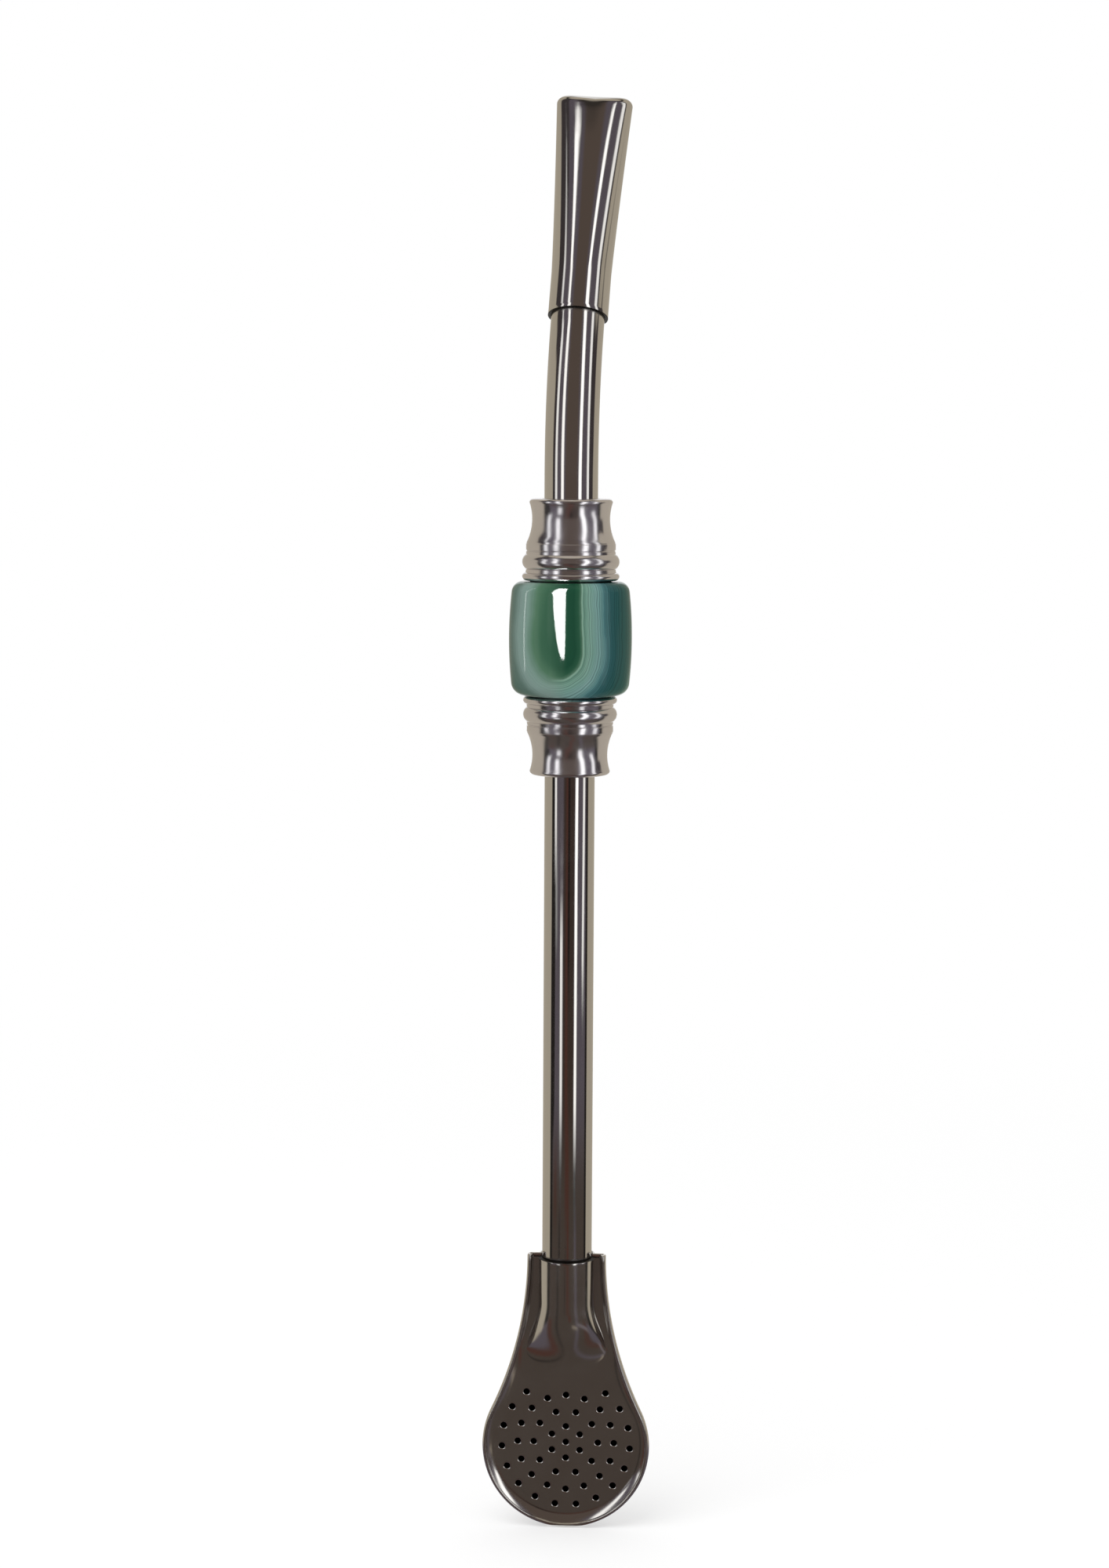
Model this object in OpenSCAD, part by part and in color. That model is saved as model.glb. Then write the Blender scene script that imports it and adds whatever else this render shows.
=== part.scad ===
/* [Filter] */
// Radius of the round bowl of the filter
bowl_r = 13.5; // [10:0.5:18]
// Room between the channel and the rolled rim at the filter's mouth
neck_room = 0.2; // [0.1:0.05:1.5]
// Height of the filter's mouth above the centre of the bowl
neck_rise = 31.6; // [26:0.1:45]
// Thickness of the filter's steel sheet
sheet = 0.5; // [0.3:0.05:0.6]
// Outside radius of the rolled rim
rim_r = 0.8; // [0.7:0.05:0.9]
// How far the tube reaches into the filter
tube_insert = 7; // [4:0.5:9]
// Depth of the back shell behind the middle of the bowl
bowl_depth = 5.4; // [4.6:0.1:7]
// How far the perforated plate ends below the tops of the rolled rim
mouth_drop = 0.5; // [0.2:0.1:3]
// Length of the raised channel on the perforated plate, from the tops of the rim to where it ends
channel_len = 18.5; // [16:0.5:22]
// How much wider than the tube the channel grows on each side before it ends
channel_flare = 2.0; // [0:0.1:2.5]

/* [Strainer holes] */
// Diameter of a strainer hole
hole_d = 1.0; // [0.5:0.1:1.4]
// Distance from each ring of holes to the next
hole_pitch = 2.6; // [2:0.1:2.7]
// Height of the middle hole above the centre of the bowl
hole_rise = 0.5; // [-0.5:0.1:1]

/* [Stem] */
// Outside diameter of the lower tube
lower_tube_d = 8.0; // [6:0.1:8.4]
// Outside diameter of the upper tube
upper_tube_d = 8.5; // [7.6:0.1:9.5]
// Wall of both tubes
tube_wall = 0.6; // [0.4:0.05:0.8]
// Bare length of the lower tube, from the filter's mouth to the lower ferrule
lower_reach = 77.6; // [40:0.1:120]
// Straight length of the upper tube above its ferrule
upper_straight = 3.5; // [0.5:0.5:20]
// Radius of the bend, on the axis of the tube
bend_r = 73; // [40:1:150]
// Angle of the bend
bend_angle = 20; // [5:1:40]
// How far round from the filter's face the bend stands when the stem is screwed tight
bend_turn = 8; // [0:1:90]

/* [Stone and ferrules] */
// Widest diameter of the stone
stone_d = 19.5; // [17:0.5:26]
// Height of the stone
stone_h = 18; // [10:0.5:30]
// Radius of the barrel curve of the stone's side
stone_side_r = 69; // [40:1:200]
// Radius of the stone's upper edge
stone_top_r = 1.8; // [0.5:0.1:3]
// Radius of the stone's lower edge
stone_bottom_r = 2.1; // [0.5:0.1:3]
// Room between the stone and the tube that runs through it
stone_room = 0.3; // [0.1:0.05:0.6]
// Height of the upper ferrule
ferrule_h = 12.6; // [11:0.1:16]
// Height of the lower ferrule, which has the same shape in a smaller size
lower_ferrule_h = 12.2; // [11.5:0.1:13]
// Radius of the upper ferrule's plain body
ferrule_r = 7.1; // [6.9:0.05:8]
// Radius of the upper ferrule at its waist
waist_r = 6.17; // [5.6:0.05:6.6]
// How far the flange and the ring stand out from a ferrule's body
band_out = 0.6; // [0.2:0.05:0.8]
// Thickness of the seal ring and of the washer
washer_t = 0.4; // [0.3:0.1:1]
// How much of their thickness the ferrules cover
cup_depth = 0.25; // [0.1:0.05:0.25]
// Length of the screwed end of the lower tube inside the upper ferrule
thread_len = 5; // [3:0.5:6]

/* [Mouthpiece] */
// Length of the mouthpiece along its axis
mouth_len = 37.5; // [28:0.5:50]
// Thickness of the mouthpiece's steel sheet
mouth_sheet = 0.5; // [0.3:0.05:0.6]
// Length of tube that the mouthpiece slips over
sleeve_len = 7; // [4:0.5:12]
// How far the lips stand out beyond the round sleeve on each side
mouth_flare = 1.23; // [0.9:0.01:1.5]
// Radius of the rounded lip
lip_r = 1.4; // [0.8:0.1:1.5]

/* [Fits] */
// Gap in a fixed joint, such as a tube in its socket
fixed_gap = 0.02; // [0.01:0.01:0.05]
// Gap round the screwed end of the lower tube
screw_gap = 0.05; // [0.02:0.01:0.1]

/* [Hidden] */
$fn = 64;

// Heights along the stem, from the tip of the filter upward
neck_top = bowl_r + neck_rise;
lower_ferrule_z = neck_top + lower_reach;
lower_washer_z = lower_ferrule_z + lower_ferrule_h;
stone_z = lower_washer_z + washer_t;
seal_z = stone_z + stone_h;
upper_ferrule_z = seal_z + washer_t;
screw_top_z = upper_ferrule_z + thread_len;
screw_end_room = 0.5;
join = 0.05;
upper_tube_z = screw_top_z + screw_end_room;
ferrule_top_z = upper_ferrule_z + ferrule_h;
bend_z = ferrule_top_z + upper_straight;

lower_r = lower_tube_d / 2;
upper_r = upper_tube_d / 2;
lower_bore_r = lower_r - tube_wall;
upper_bore_r = upper_r - tube_wall;

// Half round socket for the tube, the sheet round it, and the half width of the mouth over the rolled rim
socket_r = lower_r + fixed_gap;
shell_r = socket_r + sheet;
neck_half = shell_r + neck_room + 2 * rim_r;

// Filter outline: two hollow flanks that run square out of the mouth and smoothly into the round bowl
flank_r = (neck_half^2 + neck_rise^2 - bowl_r^2) / (2 * (bowl_r - neck_half));
flank_turn = asin(neck_rise / (bowl_r + flank_r));
flank_steps = 8;
bowl_steps = 40;
stations = 2 * flank_steps + bowl_steps + 1;

function ease(t) = t * t * (3 - 2 * t);

// A point of the outline at a station, moved inward: stations run down the right flank, round and up
function flank_point(k, inset, side) =
    let (turn = 180 + flank_turn * k / flank_steps)
    [side * (neck_half + flank_r + (flank_r + inset) * cos(turn)), neck_top + (flank_r + inset) * sin(turn)];
function bowl_point(k, inset) =
    let (turn = flank_turn - (180 + 2 * flank_turn) * k / bowl_steps)
    [(bowl_r - inset) * cos(turn), bowl_r + (bowl_r - inset) * sin(turn)];
function outline_point(i, inset) =
    i < flank_steps ? flank_point(i, inset, 1)
    : i <= flank_steps + bowl_steps ? bowl_point(i - flank_steps, inset)
    : flank_point(stations - 1 - i, inset, -1);
function outline(inset) = [for (i = [0:stations - 1]) outline_point(i, inset)];

// Distance from the outline to the middle line of the filter at a station
function middle_inset(i) =
    let (k = min(i, stations - 1 - i, flank_steps))
    (neck_half + flank_r) / cos(flank_turn * k / flank_steps) - flank_r;

// Section of the back shell as pairs of outer and inner points: rolled rim, flange, then a round wall
roll_r = rim_r - sheet;
rim_z = rim_r - sheet;
rim_steps = 7;
wall_steps = 6;
wall_end = 89;
wall_socket_r = socket_r / cos(wall_end / wall_steps / 2);
wall_shell_r = wall_socket_r + sheet;
function around(centre, r, turn) = [centre[0] + r * cos(turn), centre[1] + r * sin(turn)];
lip_turn_out = asin((sheet - rim_z) / rim_r);
lip_turn_in = asin(min(1, (sheet - rim_z) / roll_r));
flange_turn = asin(sheet / wall_shell_r);
function rim_pair(k) =
    let (part = k / rim_steps, centre = [rim_r, rim_z])
    [around(centre, rim_r, lip_turn_out + (270 - lip_turn_out) * part),
     around(centre, roll_r, lip_turn_in + (270 - lip_turn_in) * part)];
function wall_pair(k) =
    let (part = k / wall_steps, out = flange_turn + (wall_end - flange_turn) * part, in = wall_end * part)
    [[neck_half - wall_shell_r * cos(out), -wall_shell_r * sin(out)],
     [neck_half - wall_socket_r * cos(in), -wall_socket_r * sin(in)]];
back_section = concat([for (k = [0:rim_steps]) rim_pair(k)], [for (k = [0:wall_steps]) wall_pair(k)]);
wall_radii = [wall_shell_r, wall_socket_r];

// The round wall stretches in to the middle line and sinks to the bowl's depth as the filter widens
function back_point(i, face, j) =
    let (pair = back_section[j][face],
         middle = middle_inset(i),
         widened = ease((middle - neck_half) / (bowl_r - neck_half)),
         r = wall_radii[face],
         start = neck_half - r,
         stretch = (middle - start) / r,
         sink = 1 + widened * (bowl_depth - wall_shell_r) / r)
    j <= rim_steps || pair[1] > -sheet ? [each outline_point(i, pair[0]), pair[1]]
    : [each outline_point(i, start + (pair[0] - start) * stretch), pair[1] * sink];

// Strainer rings: number of places in each ring, the turn of its first hole and the holes it has
hole_rings = [[6, 90, 6], [10, 0, 10], [16, 0, 16], [19, 270 - 7.5 * 360 / 19, 16]];
hole_edge = 0.4;
ring_limit = bowl_r - 2 * rim_r - hole_edge - hole_d / 2;

// Closed surface through rings of points, each ring a loop with as many points as the last
module loft(rings) {
    count = len(rings[0]);
    last = len(rings) - 1;
    sides = [for (i = [0:last - 1], k = [0:count - 1])
        let (next = (k + 1) % count)
        [i * count + k, (i + 1) * count + k, (i + 1) * count + next, i * count + next]];
    bottom = [for (k = [0:count - 1]) k];
    top = [for (k = [0:count - 1]) last * count + count - 1 - k];
    polyhedron([for (ring = rings) each ring], concat(sides, [bottom, top]));
}

// Stands a filter piece up: drawn with its face up and its mouth along y, turned to face -y
module stand_up() {
    rotate([90, 0, 0]) children();
}

// Sheet with the back section carried along the outline, and a narrow floor between its two sides
module back_sheet() {
    pairs = len(back_section);
    points = [for (i = [0:stations - 1], face = [0, 1], j = [0:pairs - 1]) back_point(i, face, j)];
    function at(i, face, j) = (i * 2 + face) * pairs + j;
    edge = pairs - 1;
    middle = (stations - 1) / 2;
    function quads(i, j) = let (n = i + 1, m = j + 1) [
        [at(i, 0, j), at(i, 0, m), at(n, 0, m), at(n, 0, j)],
        [at(i, 1, j), at(n, 1, j), at(n, 1, m), at(i, 1, m)]];
    skins = [for (i = [0:stations - 2], j = [0:pairs - 2]) each quads(i, j)];
    lip = [for (i = [0:stations - 2]) [at(i, 0, 0), at(i + 1, 0, 0), at(i + 1, 1, 0), at(i, 1, 0)]];
    ends = [for (j = [0:pairs - 2]) each [
        [at(0, 0, j), at(0, 1, j), at(0, 1, j + 1), at(0, 0, j + 1)],
        [at(stations - 1, 0, j), at(stations - 1, 0, j + 1),
         at(stations - 1, 1, j + 1), at(stations - 1, 1, j)]]];
    floors = [for (i = [0:middle - 1]) let (o = stations - 1 - i) each [
        i == middle - 1 ? [at(i, 0, edge), at(o, 0, edge), at(i + 1, 0, edge)]
        : [at(i, 0, edge), at(o, 0, edge), at(o - 1, 0, edge), at(i + 1, 0, edge)],
        i == middle - 1 ? [at(i, 1, edge), at(i + 1, 1, edge), at(o, 1, edge)]
        : [at(i, 1, edge), at(i + 1, 1, edge), at(o - 1, 1, edge), at(o, 1, edge)]]];
    mouth = [[at(0, 0, edge), at(0, 1, edge), at(stations - 1, 1, edge), at(stations - 1, 0, edge)]];
    polyhedron(points, concat(skins, lip, ends, floors, mouth));
}

module filter_back() {
    color("gray") stand_up() back_sheet();
}

// Share of the channel's full height at a share of its length: level beside the tube, then sinking as it
// spreads, with a short ramp at its end
socket_end_room = 1;
channel_level = (tube_insert + socket_end_room) / channel_len;
channel_sink = 0.72;
ramp_start = 0.82;
function past(part, start) = ease(max(0, (part - start) / (1 - start)));
function channel_share(part) =
    (1 - channel_sink * past(part, channel_level)) * (1 - past(part, ramp_start));
channel_steps = 20;
channel_points = 24;
half_round = 0.5;
flowing_out = 1.4;

// Channel section: a half round at the mouth that spreads and sinks into the plate
module channel(base_z, foot_z, r, over) {
    rings = [for (k = [0:channel_steps])
        let (part = k / channel_steps,
             share = channel_share(part),
             bulge = flowing_out + (half_round - flowing_out) * share,
             half = r + channel_flare * part^3,
             y = neck_top - channel_len * part + (k == 0 ? over : 0))
        concat(
            [[half, y, base_z]],
            [for (m = [0:channel_points])
                let (u = cos(180 * m / channel_points))
                [half * u, y, foot_z + (r - foot_z) * share * pow(max(0, 1 - u * u), bulge)]],
            [[-half, y, base_z]])];
    loft(rings);
}

module strainer_holes() {
    depth = 4 * sheet;
    translate([0, bowl_r + hole_rise, -sheet]) {
        cylinder(d = hole_d, h = depth);
        for (n = [0:len(hole_rings) - 1])
            if ((n + 1) * hole_pitch <= ring_limit)
                for (k = [0:hole_rings[n][2] - 1])
                    rotate([0, 0, hole_rings[n][1] + k * 360 / hole_rings[n][0]])
                        translate([(n + 1) * hole_pitch, 0, 0]) cylinder(d = hole_d, h = depth);
    }
}

module filter_front() {
    plate_inset = rim_r + fixed_gap;
    color("dimgray") stand_up() difference() {
        union() {
            linear_extrude(sheet) polygon(outline(plate_inset));
            channel(sheet / 2, sheet - fixed_gap, shell_r, 0);
        }
        channel(-sheet, -fixed_gap, socket_r, sheet);
        strainer_holes();
        translate([-neck_half, neck_top - mouth_drop, -sheet])
            cube([2 * neck_half, 2 * mouth_drop, 2 * shell_r]);
    }
}

module tube_ring(r, bore) {
    difference() {
        circle(r);
        circle(bore);
    }
}

module lower_tube() {
    bottom = neck_top - tube_insert;
    color("silver") translate([0, 0, bottom]) linear_extrude(screw_top_z - bottom)
        tube_ring(lower_r, lower_bore_r);
}

// Outside of a ferrule from its face on the washer: flange cupped over the washer, ring, notch, hollow waist
// and rounded end
flange_t = 1 + cup_depth;
ring_r = 1.5;
ring_z = 2.7;
notch_r = 0.12;
notch_z = 4.45;
waist_z = 9.4;
cove_start_z = 5.6;
end_r = 0.6;
countersink = 0.35;
washer_inset = 0.6;
washer_r = ferrule_r - washer_inset;
washer_room = 0.1;
cove_depth = ferrule_r - waist_r;
cove_r = ((waist_z - cove_start_z)^2 + cove_depth^2) / (2 * cove_depth);
end_z = ferrule_h - end_r;
end_out = waist_r + cove_r - sqrt(cove_r^2 - (end_z - waist_z)^2);
module ferrule_profile() {
    flange_x = ferrule_r + band_out - flange_t / 2;
    difference() {
        square([ferrule_r, end_z]);
        translate([waist_r + cove_r, waist_z]) circle(cove_r, $fn = 180);
        translate([ferrule_r, notch_z]) circle(notch_r);
    }
    translate([0, -cup_depth]) square([flange_x, flange_t]);
    translate([flange_x, flange_t / 2 - cup_depth]) circle(flange_t / 2);
    translate([ferrule_r + band_out - ring_r, ring_z]) circle(ring_r);
    square([end_out - end_r, ferrule_h]);
    translate([end_out - end_r, end_z]) circle(end_r);
}

module ferrule_blank(h, end_bore_r) {
    rotate_extrude() difference() {
        scale(h / ferrule_h) intersection() {
            ferrule_profile();
            translate([0, -ferrule_h / 2]) square([2 * ferrule_r, 2 * ferrule_h]);
        }
        translate([0, -h]) square([washer_r + washer_room, h]);
        polygon([[0, h - end_bore_r - countersink],
                 [end_bore_r + 2 * countersink, h + countersink],
                 [0, h + countersink]]);
    }
}

module lower_ferrule() {
    color("gainsboro") translate([0, 0, lower_washer_z]) mirror([0, 0, 1]) difference() {
        ferrule_blank(lower_ferrule_h, lower_r + fixed_gap);
        translate([0, 0, -ferrule_h / 2]) cylinder(r = lower_r + fixed_gap, h = 2 * ferrule_h);
    }
}

module upper_ferrule() {
    tube_seat = upper_tube_z - upper_ferrule_z;
    color("gainsboro") translate([0, 0, upper_ferrule_z]) difference() {
        ferrule_blank(ferrule_h, upper_r + fixed_gap);
        translate([0, 0, -tube_seat]) cylinder(r = lower_r + screw_gap, h = 2 * tube_seat + join);
        translate([0, 0, tube_seat]) cylinder(r = upper_r + fixed_gap, h = ferrule_h);
    }
}

module washer() {
    linear_extrude(washer_t) tube_ring(washer_r, lower_r + stone_room);
}

module lower_washer() {
    color("black") translate([0, 0, lower_washer_z]) washer();
}

module seal_ring() {
    color("black") translate([0, 0, seal_z]) washer();
}

// Half section of the stone: barrel side with edges that run smoothly into it
module stone_profile() {
    half = stone_d / 2;
    middle = stone_h / 2;
    barrel_x = half - stone_side_r;
    function edge_x(r) = barrel_x + sqrt((stone_side_r - r)^2 - (middle - r)^2);
    function meet_z(r) = (middle - r) * stone_side_r / (stone_side_r - r);
    intersection() {
        union() {
            intersection() {
                translate([barrel_x, middle]) circle(stone_side_r, $fn = 360);
                translate([0, middle - meet_z(stone_bottom_r)])
                    square([half, meet_z(stone_bottom_r) + meet_z(stone_top_r)]);
            }
            square([edge_x(stone_bottom_r), middle]);
            translate([edge_x(stone_bottom_r), stone_bottom_r]) circle(stone_bottom_r);
            translate([0, middle]) square([edge_x(stone_top_r), middle]);
            translate([edge_x(stone_top_r), stone_h - stone_top_r]) circle(stone_top_r);
        }
        translate([lower_r + stone_room, 0]) square([half, stone_h]);
    }
}

module stone_bead() {
    color("seagreen") translate([0, 0, stone_z]) rotate_extrude() stone_profile();
}

// Turns the bend to where it stands when the stem is screwed tight
module screwed_tight() {
    rotate([0, 0, -bend_turn]) children();
}

// Carries its children from the foot of the bend to its far end, with z along the bent axis
module past_bend() {
    translate([0, bend_r, bend_z]) rotate([-bend_angle, 0, 0]) translate([0, -bend_r, 0]) children();
}

// The straight ends lap over the bend, which is a hair thinner so that no two faces coincide
join_step = 0.002;
module upper_tube() {
    color("silver") screwed_tight() {
        translate([0, 0, upper_tube_z]) linear_extrude(bend_z + join - upper_tube_z)
            tube_ring(upper_r, upper_bore_r);
        translate([0, bend_r, bend_z]) rotate([90, 0, 0]) rotate([0, -90, 0])
            rotate_extrude(angle = bend_angle) translate([bend_r, 0])
                tube_ring(upper_r - join_step, upper_bore_r + join_step);
        past_bend() translate([0, 0, -join]) linear_extrude(sleeve_len - fixed_gap + join)
            tube_ring(upper_r, upper_bore_r);
    }
}

// Flattened section of the mouthpiece: its girth stays about that of the round sleeve
sleeve_r = upper_r + fixed_gap + mouth_sheet;
mouth_points = 32;
seat_step = 0.25;
mouth_steps = 10;
lip_steps = 5;
function flat_half(half) = 2 * sleeve_r - half;
flare_power = 1.2;
function mouth_half(z) =
    sleeve_r + mouth_flare * pow(max(0, (z - sleeve_len) / (mouth_len - sleeve_len)), flare_power);
function mouth_ring(z, half, thick) = [for (k = [0:mouth_points - 1])
    let (turn = (k + 0.5) * 360 / mouth_points)
    [half * cos(turn), thick * sin(turn), z]];
function body_ring(z, inset) =
    let (half = mouth_half(z)) mouth_ring(z, half - inset, flat_half(half) - inset);
body_z = [for (k = [0:mouth_steps]) sleeve_len + (mouth_len - lip_r - sleeve_len) * k / mouth_steps];

module mouthpiece() {
    lip = [for (k = [1:lip_steps])
        let (turn = 90 * k / lip_steps, z = mouth_len - lip_r + lip_r * sin(turn))
        body_ring(z, lip_r * (1 - cos(turn)))];
    narrow = lip_r + mouth_sheet / 4;
    // the flat of the lips keeps to the filter's face, whichever way the bend stands
    color("lightgray") screwed_tight() past_bend() rotate([0, 0, bend_turn]) difference() {
        loft(concat([body_ring(0, 0)], [for (z = body_z) body_ring(z, 0)], lip));
        translate([0, 0, -sleeve_len]) cylinder(r = upper_r + fixed_gap, h = 2 * sleeve_len);
        loft(concat([body_ring(sleeve_len - 2 * seat_step, mouth_sheet + seat_step)],
                    [for (k = [1:mouth_steps]) body_ring(body_z[k], mouth_sheet)],
                    [body_ring(mouth_len - lip_r / 2, narrow), body_ring(mouth_len + lip_r, narrow)]));
    }
}

filter_back();
filter_front();
lower_tube();
lower_ferrule();
lower_washer();
stone_bead();
seal_ring();
upper_ferrule();
upper_tube();
mouthpiece();
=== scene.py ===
import math

import bmesh
import bpy
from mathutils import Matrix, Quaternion, Vector
from mathutils.geometry import delaunay_2d_cdt


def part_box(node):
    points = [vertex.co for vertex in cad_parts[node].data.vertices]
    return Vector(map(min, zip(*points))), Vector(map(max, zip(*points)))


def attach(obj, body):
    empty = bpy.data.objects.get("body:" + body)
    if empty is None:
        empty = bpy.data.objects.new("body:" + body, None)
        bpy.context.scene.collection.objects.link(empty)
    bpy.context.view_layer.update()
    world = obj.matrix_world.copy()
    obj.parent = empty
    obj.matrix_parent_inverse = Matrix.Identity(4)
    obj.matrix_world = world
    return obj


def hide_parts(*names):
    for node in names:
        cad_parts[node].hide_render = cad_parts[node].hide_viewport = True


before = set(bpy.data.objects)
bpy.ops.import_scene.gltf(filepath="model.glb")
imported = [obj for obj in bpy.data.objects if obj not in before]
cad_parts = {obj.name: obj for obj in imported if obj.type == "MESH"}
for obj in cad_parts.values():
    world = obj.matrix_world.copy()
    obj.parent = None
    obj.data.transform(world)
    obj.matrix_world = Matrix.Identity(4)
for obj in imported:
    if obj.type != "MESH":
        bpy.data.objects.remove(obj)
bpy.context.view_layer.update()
scene = bpy.context.scene
scene.view_settings.view_transform = "Standard"
millimetre = 0.001  # pieces are drawn in millimetres and stored in metres
print("frame loaded:", ", ".join(sorted(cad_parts)))


def heights(node):  # foot and top of a solid, in millimetres
    low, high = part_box(node)
    return (low / millimetre).z, (high / millimetre).z


def arc(centreX, centreZ, radius, start, end, steps):  # degrees, start and end included
    turns = [math.radians(start + (end - start) * k / steps) for k in range(steps + 1)]
    return [(centreX + radius * math.cos(t), centreZ + radius * math.sin(t)) for t in turns]


def ease(t):  # level at both ends
    t = min(1.0, max(0.0, t))
    return t * t * (3 - 2 * t)


def addPiece(name, points, faces, finish, body, node, sharpAngle=35):
    mesh = bpy.data.meshes.new(name)
    mesh.from_pydata([[c * millimetre for c in p] for p in points], [], faces)
    shape = bmesh.new()
    shape.from_mesh(mesh)
    bmesh.ops.remove_doubles(shape, verts=shape.verts, dist=0.0005 * millimetre)
    bmesh.ops.recalc_face_normals(shape, faces=shape.faces)
    shape.to_mesh(mesh)
    shape.free()
    mesh.shade_smooth()
    mesh.set_sharp_from_angle(angle=math.radians(sharpAngle))
    mesh.materials.append(finish)
    piece = bpy.data.objects.new(name, mesh)
    scene.collection.objects.link(piece)
    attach(piece, body)
    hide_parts(node)
    print("made", name, "with", len(mesh.polygons), "faces")
    return piece


def closedSkin(rings):  # rings of points whose last joins the first, like a tube wall
    count = len(rings[0])
    points = [p for ring in rings for p in ring]
    faces = []
    for i in range(len(rings)):
        n = (i + 1) % len(rings)
        for k in range(count):
            m = (k + 1) % count
            faces.append((i * count + k, i * count + m, n * count + m, n * count + k))
    return points, faces


def turned(profile, steps, cut=None):  # profile of (radius, height) spun round the stem
    rings = []
    for r, z in profile:
        ring = []
        for k in range(steps):
            turn = 2 * math.pi * k / steps
            reach = r - (cut(turn, r, z) if cut else 0)
            ring.append((reach * math.cos(turn), reach * math.sin(turn), z))
        rings.append(ring)
    return closedSkin(rings)


# Shader tools
def newMaterial(name):
    material = bpy.data.materials.new(name)
    material.use_nodes = True
    tree = material.node_tree
    return material, tree, tree.nodes["Principled BSDF"]


def setInputs(tree, node, values):  # each a plain value or another node's socket
    for key, value in values.items():
        if isinstance(value, bpy.types.NodeSocket):
            tree.links.new(value, node.inputs[key])
        else:
            node.inputs[key].default_value = value


def addNode(tree, kind, inputs=None, **settings):
    node = tree.nodes.new(kind)
    for key, value in settings.items():
        setattr(node, key, value)
    setInputs(tree, node, inputs or {})
    return node


def calc(tree, operation, *values):
    return addNode(tree, "ShaderNodeMath", dict(enumerate(values)), operation=operation).outputs["Value"]


def noise(tree, inputs, **settings):
    return addNode(tree, "ShaderNodeTexNoise", inputs, **settings).outputs["Fac"]


def mapRange(tree, value, limits, **settings):
    return addNode(tree, "ShaderNodeMapRange", {"Value": value, **limits}, **settings).outputs["Result"]


def objectPlace(tree):
    return addNode(tree, "ShaderNodeTexCoord").outputs["Object"]


def makeRamp(tree, layers, reach, value):  # layers: depth up to the reach, and colour
    ramp = addNode(tree, "ShaderNodeValToRGB", {"Fac": value})
    stops = ramp.color_ramp.elements
    while len(stops) < len(layers):
        stops.new(0.5)
    for stop, (depth, tone) in zip(stops, layers):
        stop.position = depth / reach
        stop.color = (*tone, 1)
    return ramp.outputs["Color"]


def newGroup(name, inputs, output):  # inputs with their usual values beside the place, and one number out
    group = bpy.data.node_groups.new(name, "ShaderNodeTree")
    for label, value in {"Vector": (0.0, 0.0, 0.0), **inputs}.items():
        kind = "NodeSocketVector" if isinstance(value, tuple) else "NodeSocketFloat"
        group.interface.new_socket(label, in_out="INPUT", socket_type=kind).default_value = value
    group.interface.new_socket(output, in_out="OUTPUT", socket_type="NodeSocketFloat")
    return group, group.nodes.new("NodeGroupInput").outputs


def closeGroup(group, value):
    addNode(group, "NodeGroupOutput", {0: value})
    return group


def placeGroup(tree, group, inputs):
    return addNode(tree, "ShaderNodeGroup", inputs, node_tree=group).outputs[0]


def makeHairlines():  # short fine scratches lying every way
    group, given = newGroup("hairlines", {"Scale": 900.0}, "Height")
    marks = []
    for turn, stretch in ((0.4, 14.0), (1.9, 18.0)):
        lie = {"Rotation": (turn, 0.6 * turn, turn), "Scale": (1, 1, 1 / stretch)}
        place = addNode(group, "ShaderNodeMapping", {"Vector": given["Vector"], **lie}).outputs["Vector"]
        grain = noise(group, {"Vector": place, "Scale": given["Scale"], "Detail": 2.0, "Roughness": 0.7})
        marks.append(mapRange(group, grain, {"From Min": 0.62, "From Max": 0.74}))
    return closeGroup(group, calc(group, "MAXIMUM", *marks))


def makeHandledFilm():  # thin film left by fingers and drying water
    group, given = newGroup("handledFilm", {"Scale": 90.0, "Low": 0.05, "High": 0.12}, "Roughness")
    cloud = {"Vector": given["Vector"], "Scale": given["Scale"], "Detail": 4.0, "Roughness": 0.6}
    cloud = noise(group, {**cloud, "Distortion": 0.8})
    limits = {"From Min": 0.35, "From Max": 0.7, "To Min": given["Low"], "To Max": given["High"]}
    return closeGroup(group, mapRange(group, cloud, limits))


def makeDrawnWaves():  # slow waviness that drawing and pressing leave in thin steel
    group, given = newGroup("drawnWaves", {"Scale": 120.0, "Stretch": (1.0, 1.0, 0.25)}, "Height")
    lie = {"Vector": given["Vector"], "Scale": given["Stretch"]}
    place = addNode(group, "ShaderNodeMapping", lie).outputs["Vector"]
    wave = {"Vector": place, "Scale": given["Scale"], "Detail": 1.0, "Roughness": 0.4}
    return closeGroup(group, noise(group, wave))


def makeTurnedLines():  # fine rings that a lathe tool and the polishing wheel leave
    group, given = newGroup("turnedLines", {"Scale": 4000.0}, "Height")
    height = addNode(group, "ShaderNodeSeparateXYZ", {"Vector": given["Vector"]}).outputs["Z"]
    lines = {"W": height, "Scale": given["Scale"], "Detail": 3.0, "Roughness": 0.7}
    return closeGroup(group, noise(group, lines, noise_dimensions="1D"))


def makeSeamShade():  # painted shade: dark colour past a plane, where shade falls in a seam or inside the strainer
    usual = {"Direction": (0.0, 0.0, 1.0), "Unshaded": 0.0, "Shaded": 0.001}
    group, given = newGroup("seamShade", usual, "Mask")
    both = {0: given["Vector"], 1: given["Direction"]}
    far = addNode(group, "ShaderNodeVectorMath", both, operation="DOT_PRODUCT").outputs["Value"]
    limits = {"From Min": given["Unshaded"], "From Max": given["Shaded"]}
    return closeGroup(group, mapRange(group, far, limits, interpolation_type="SMOOTHSTEP"))


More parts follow.
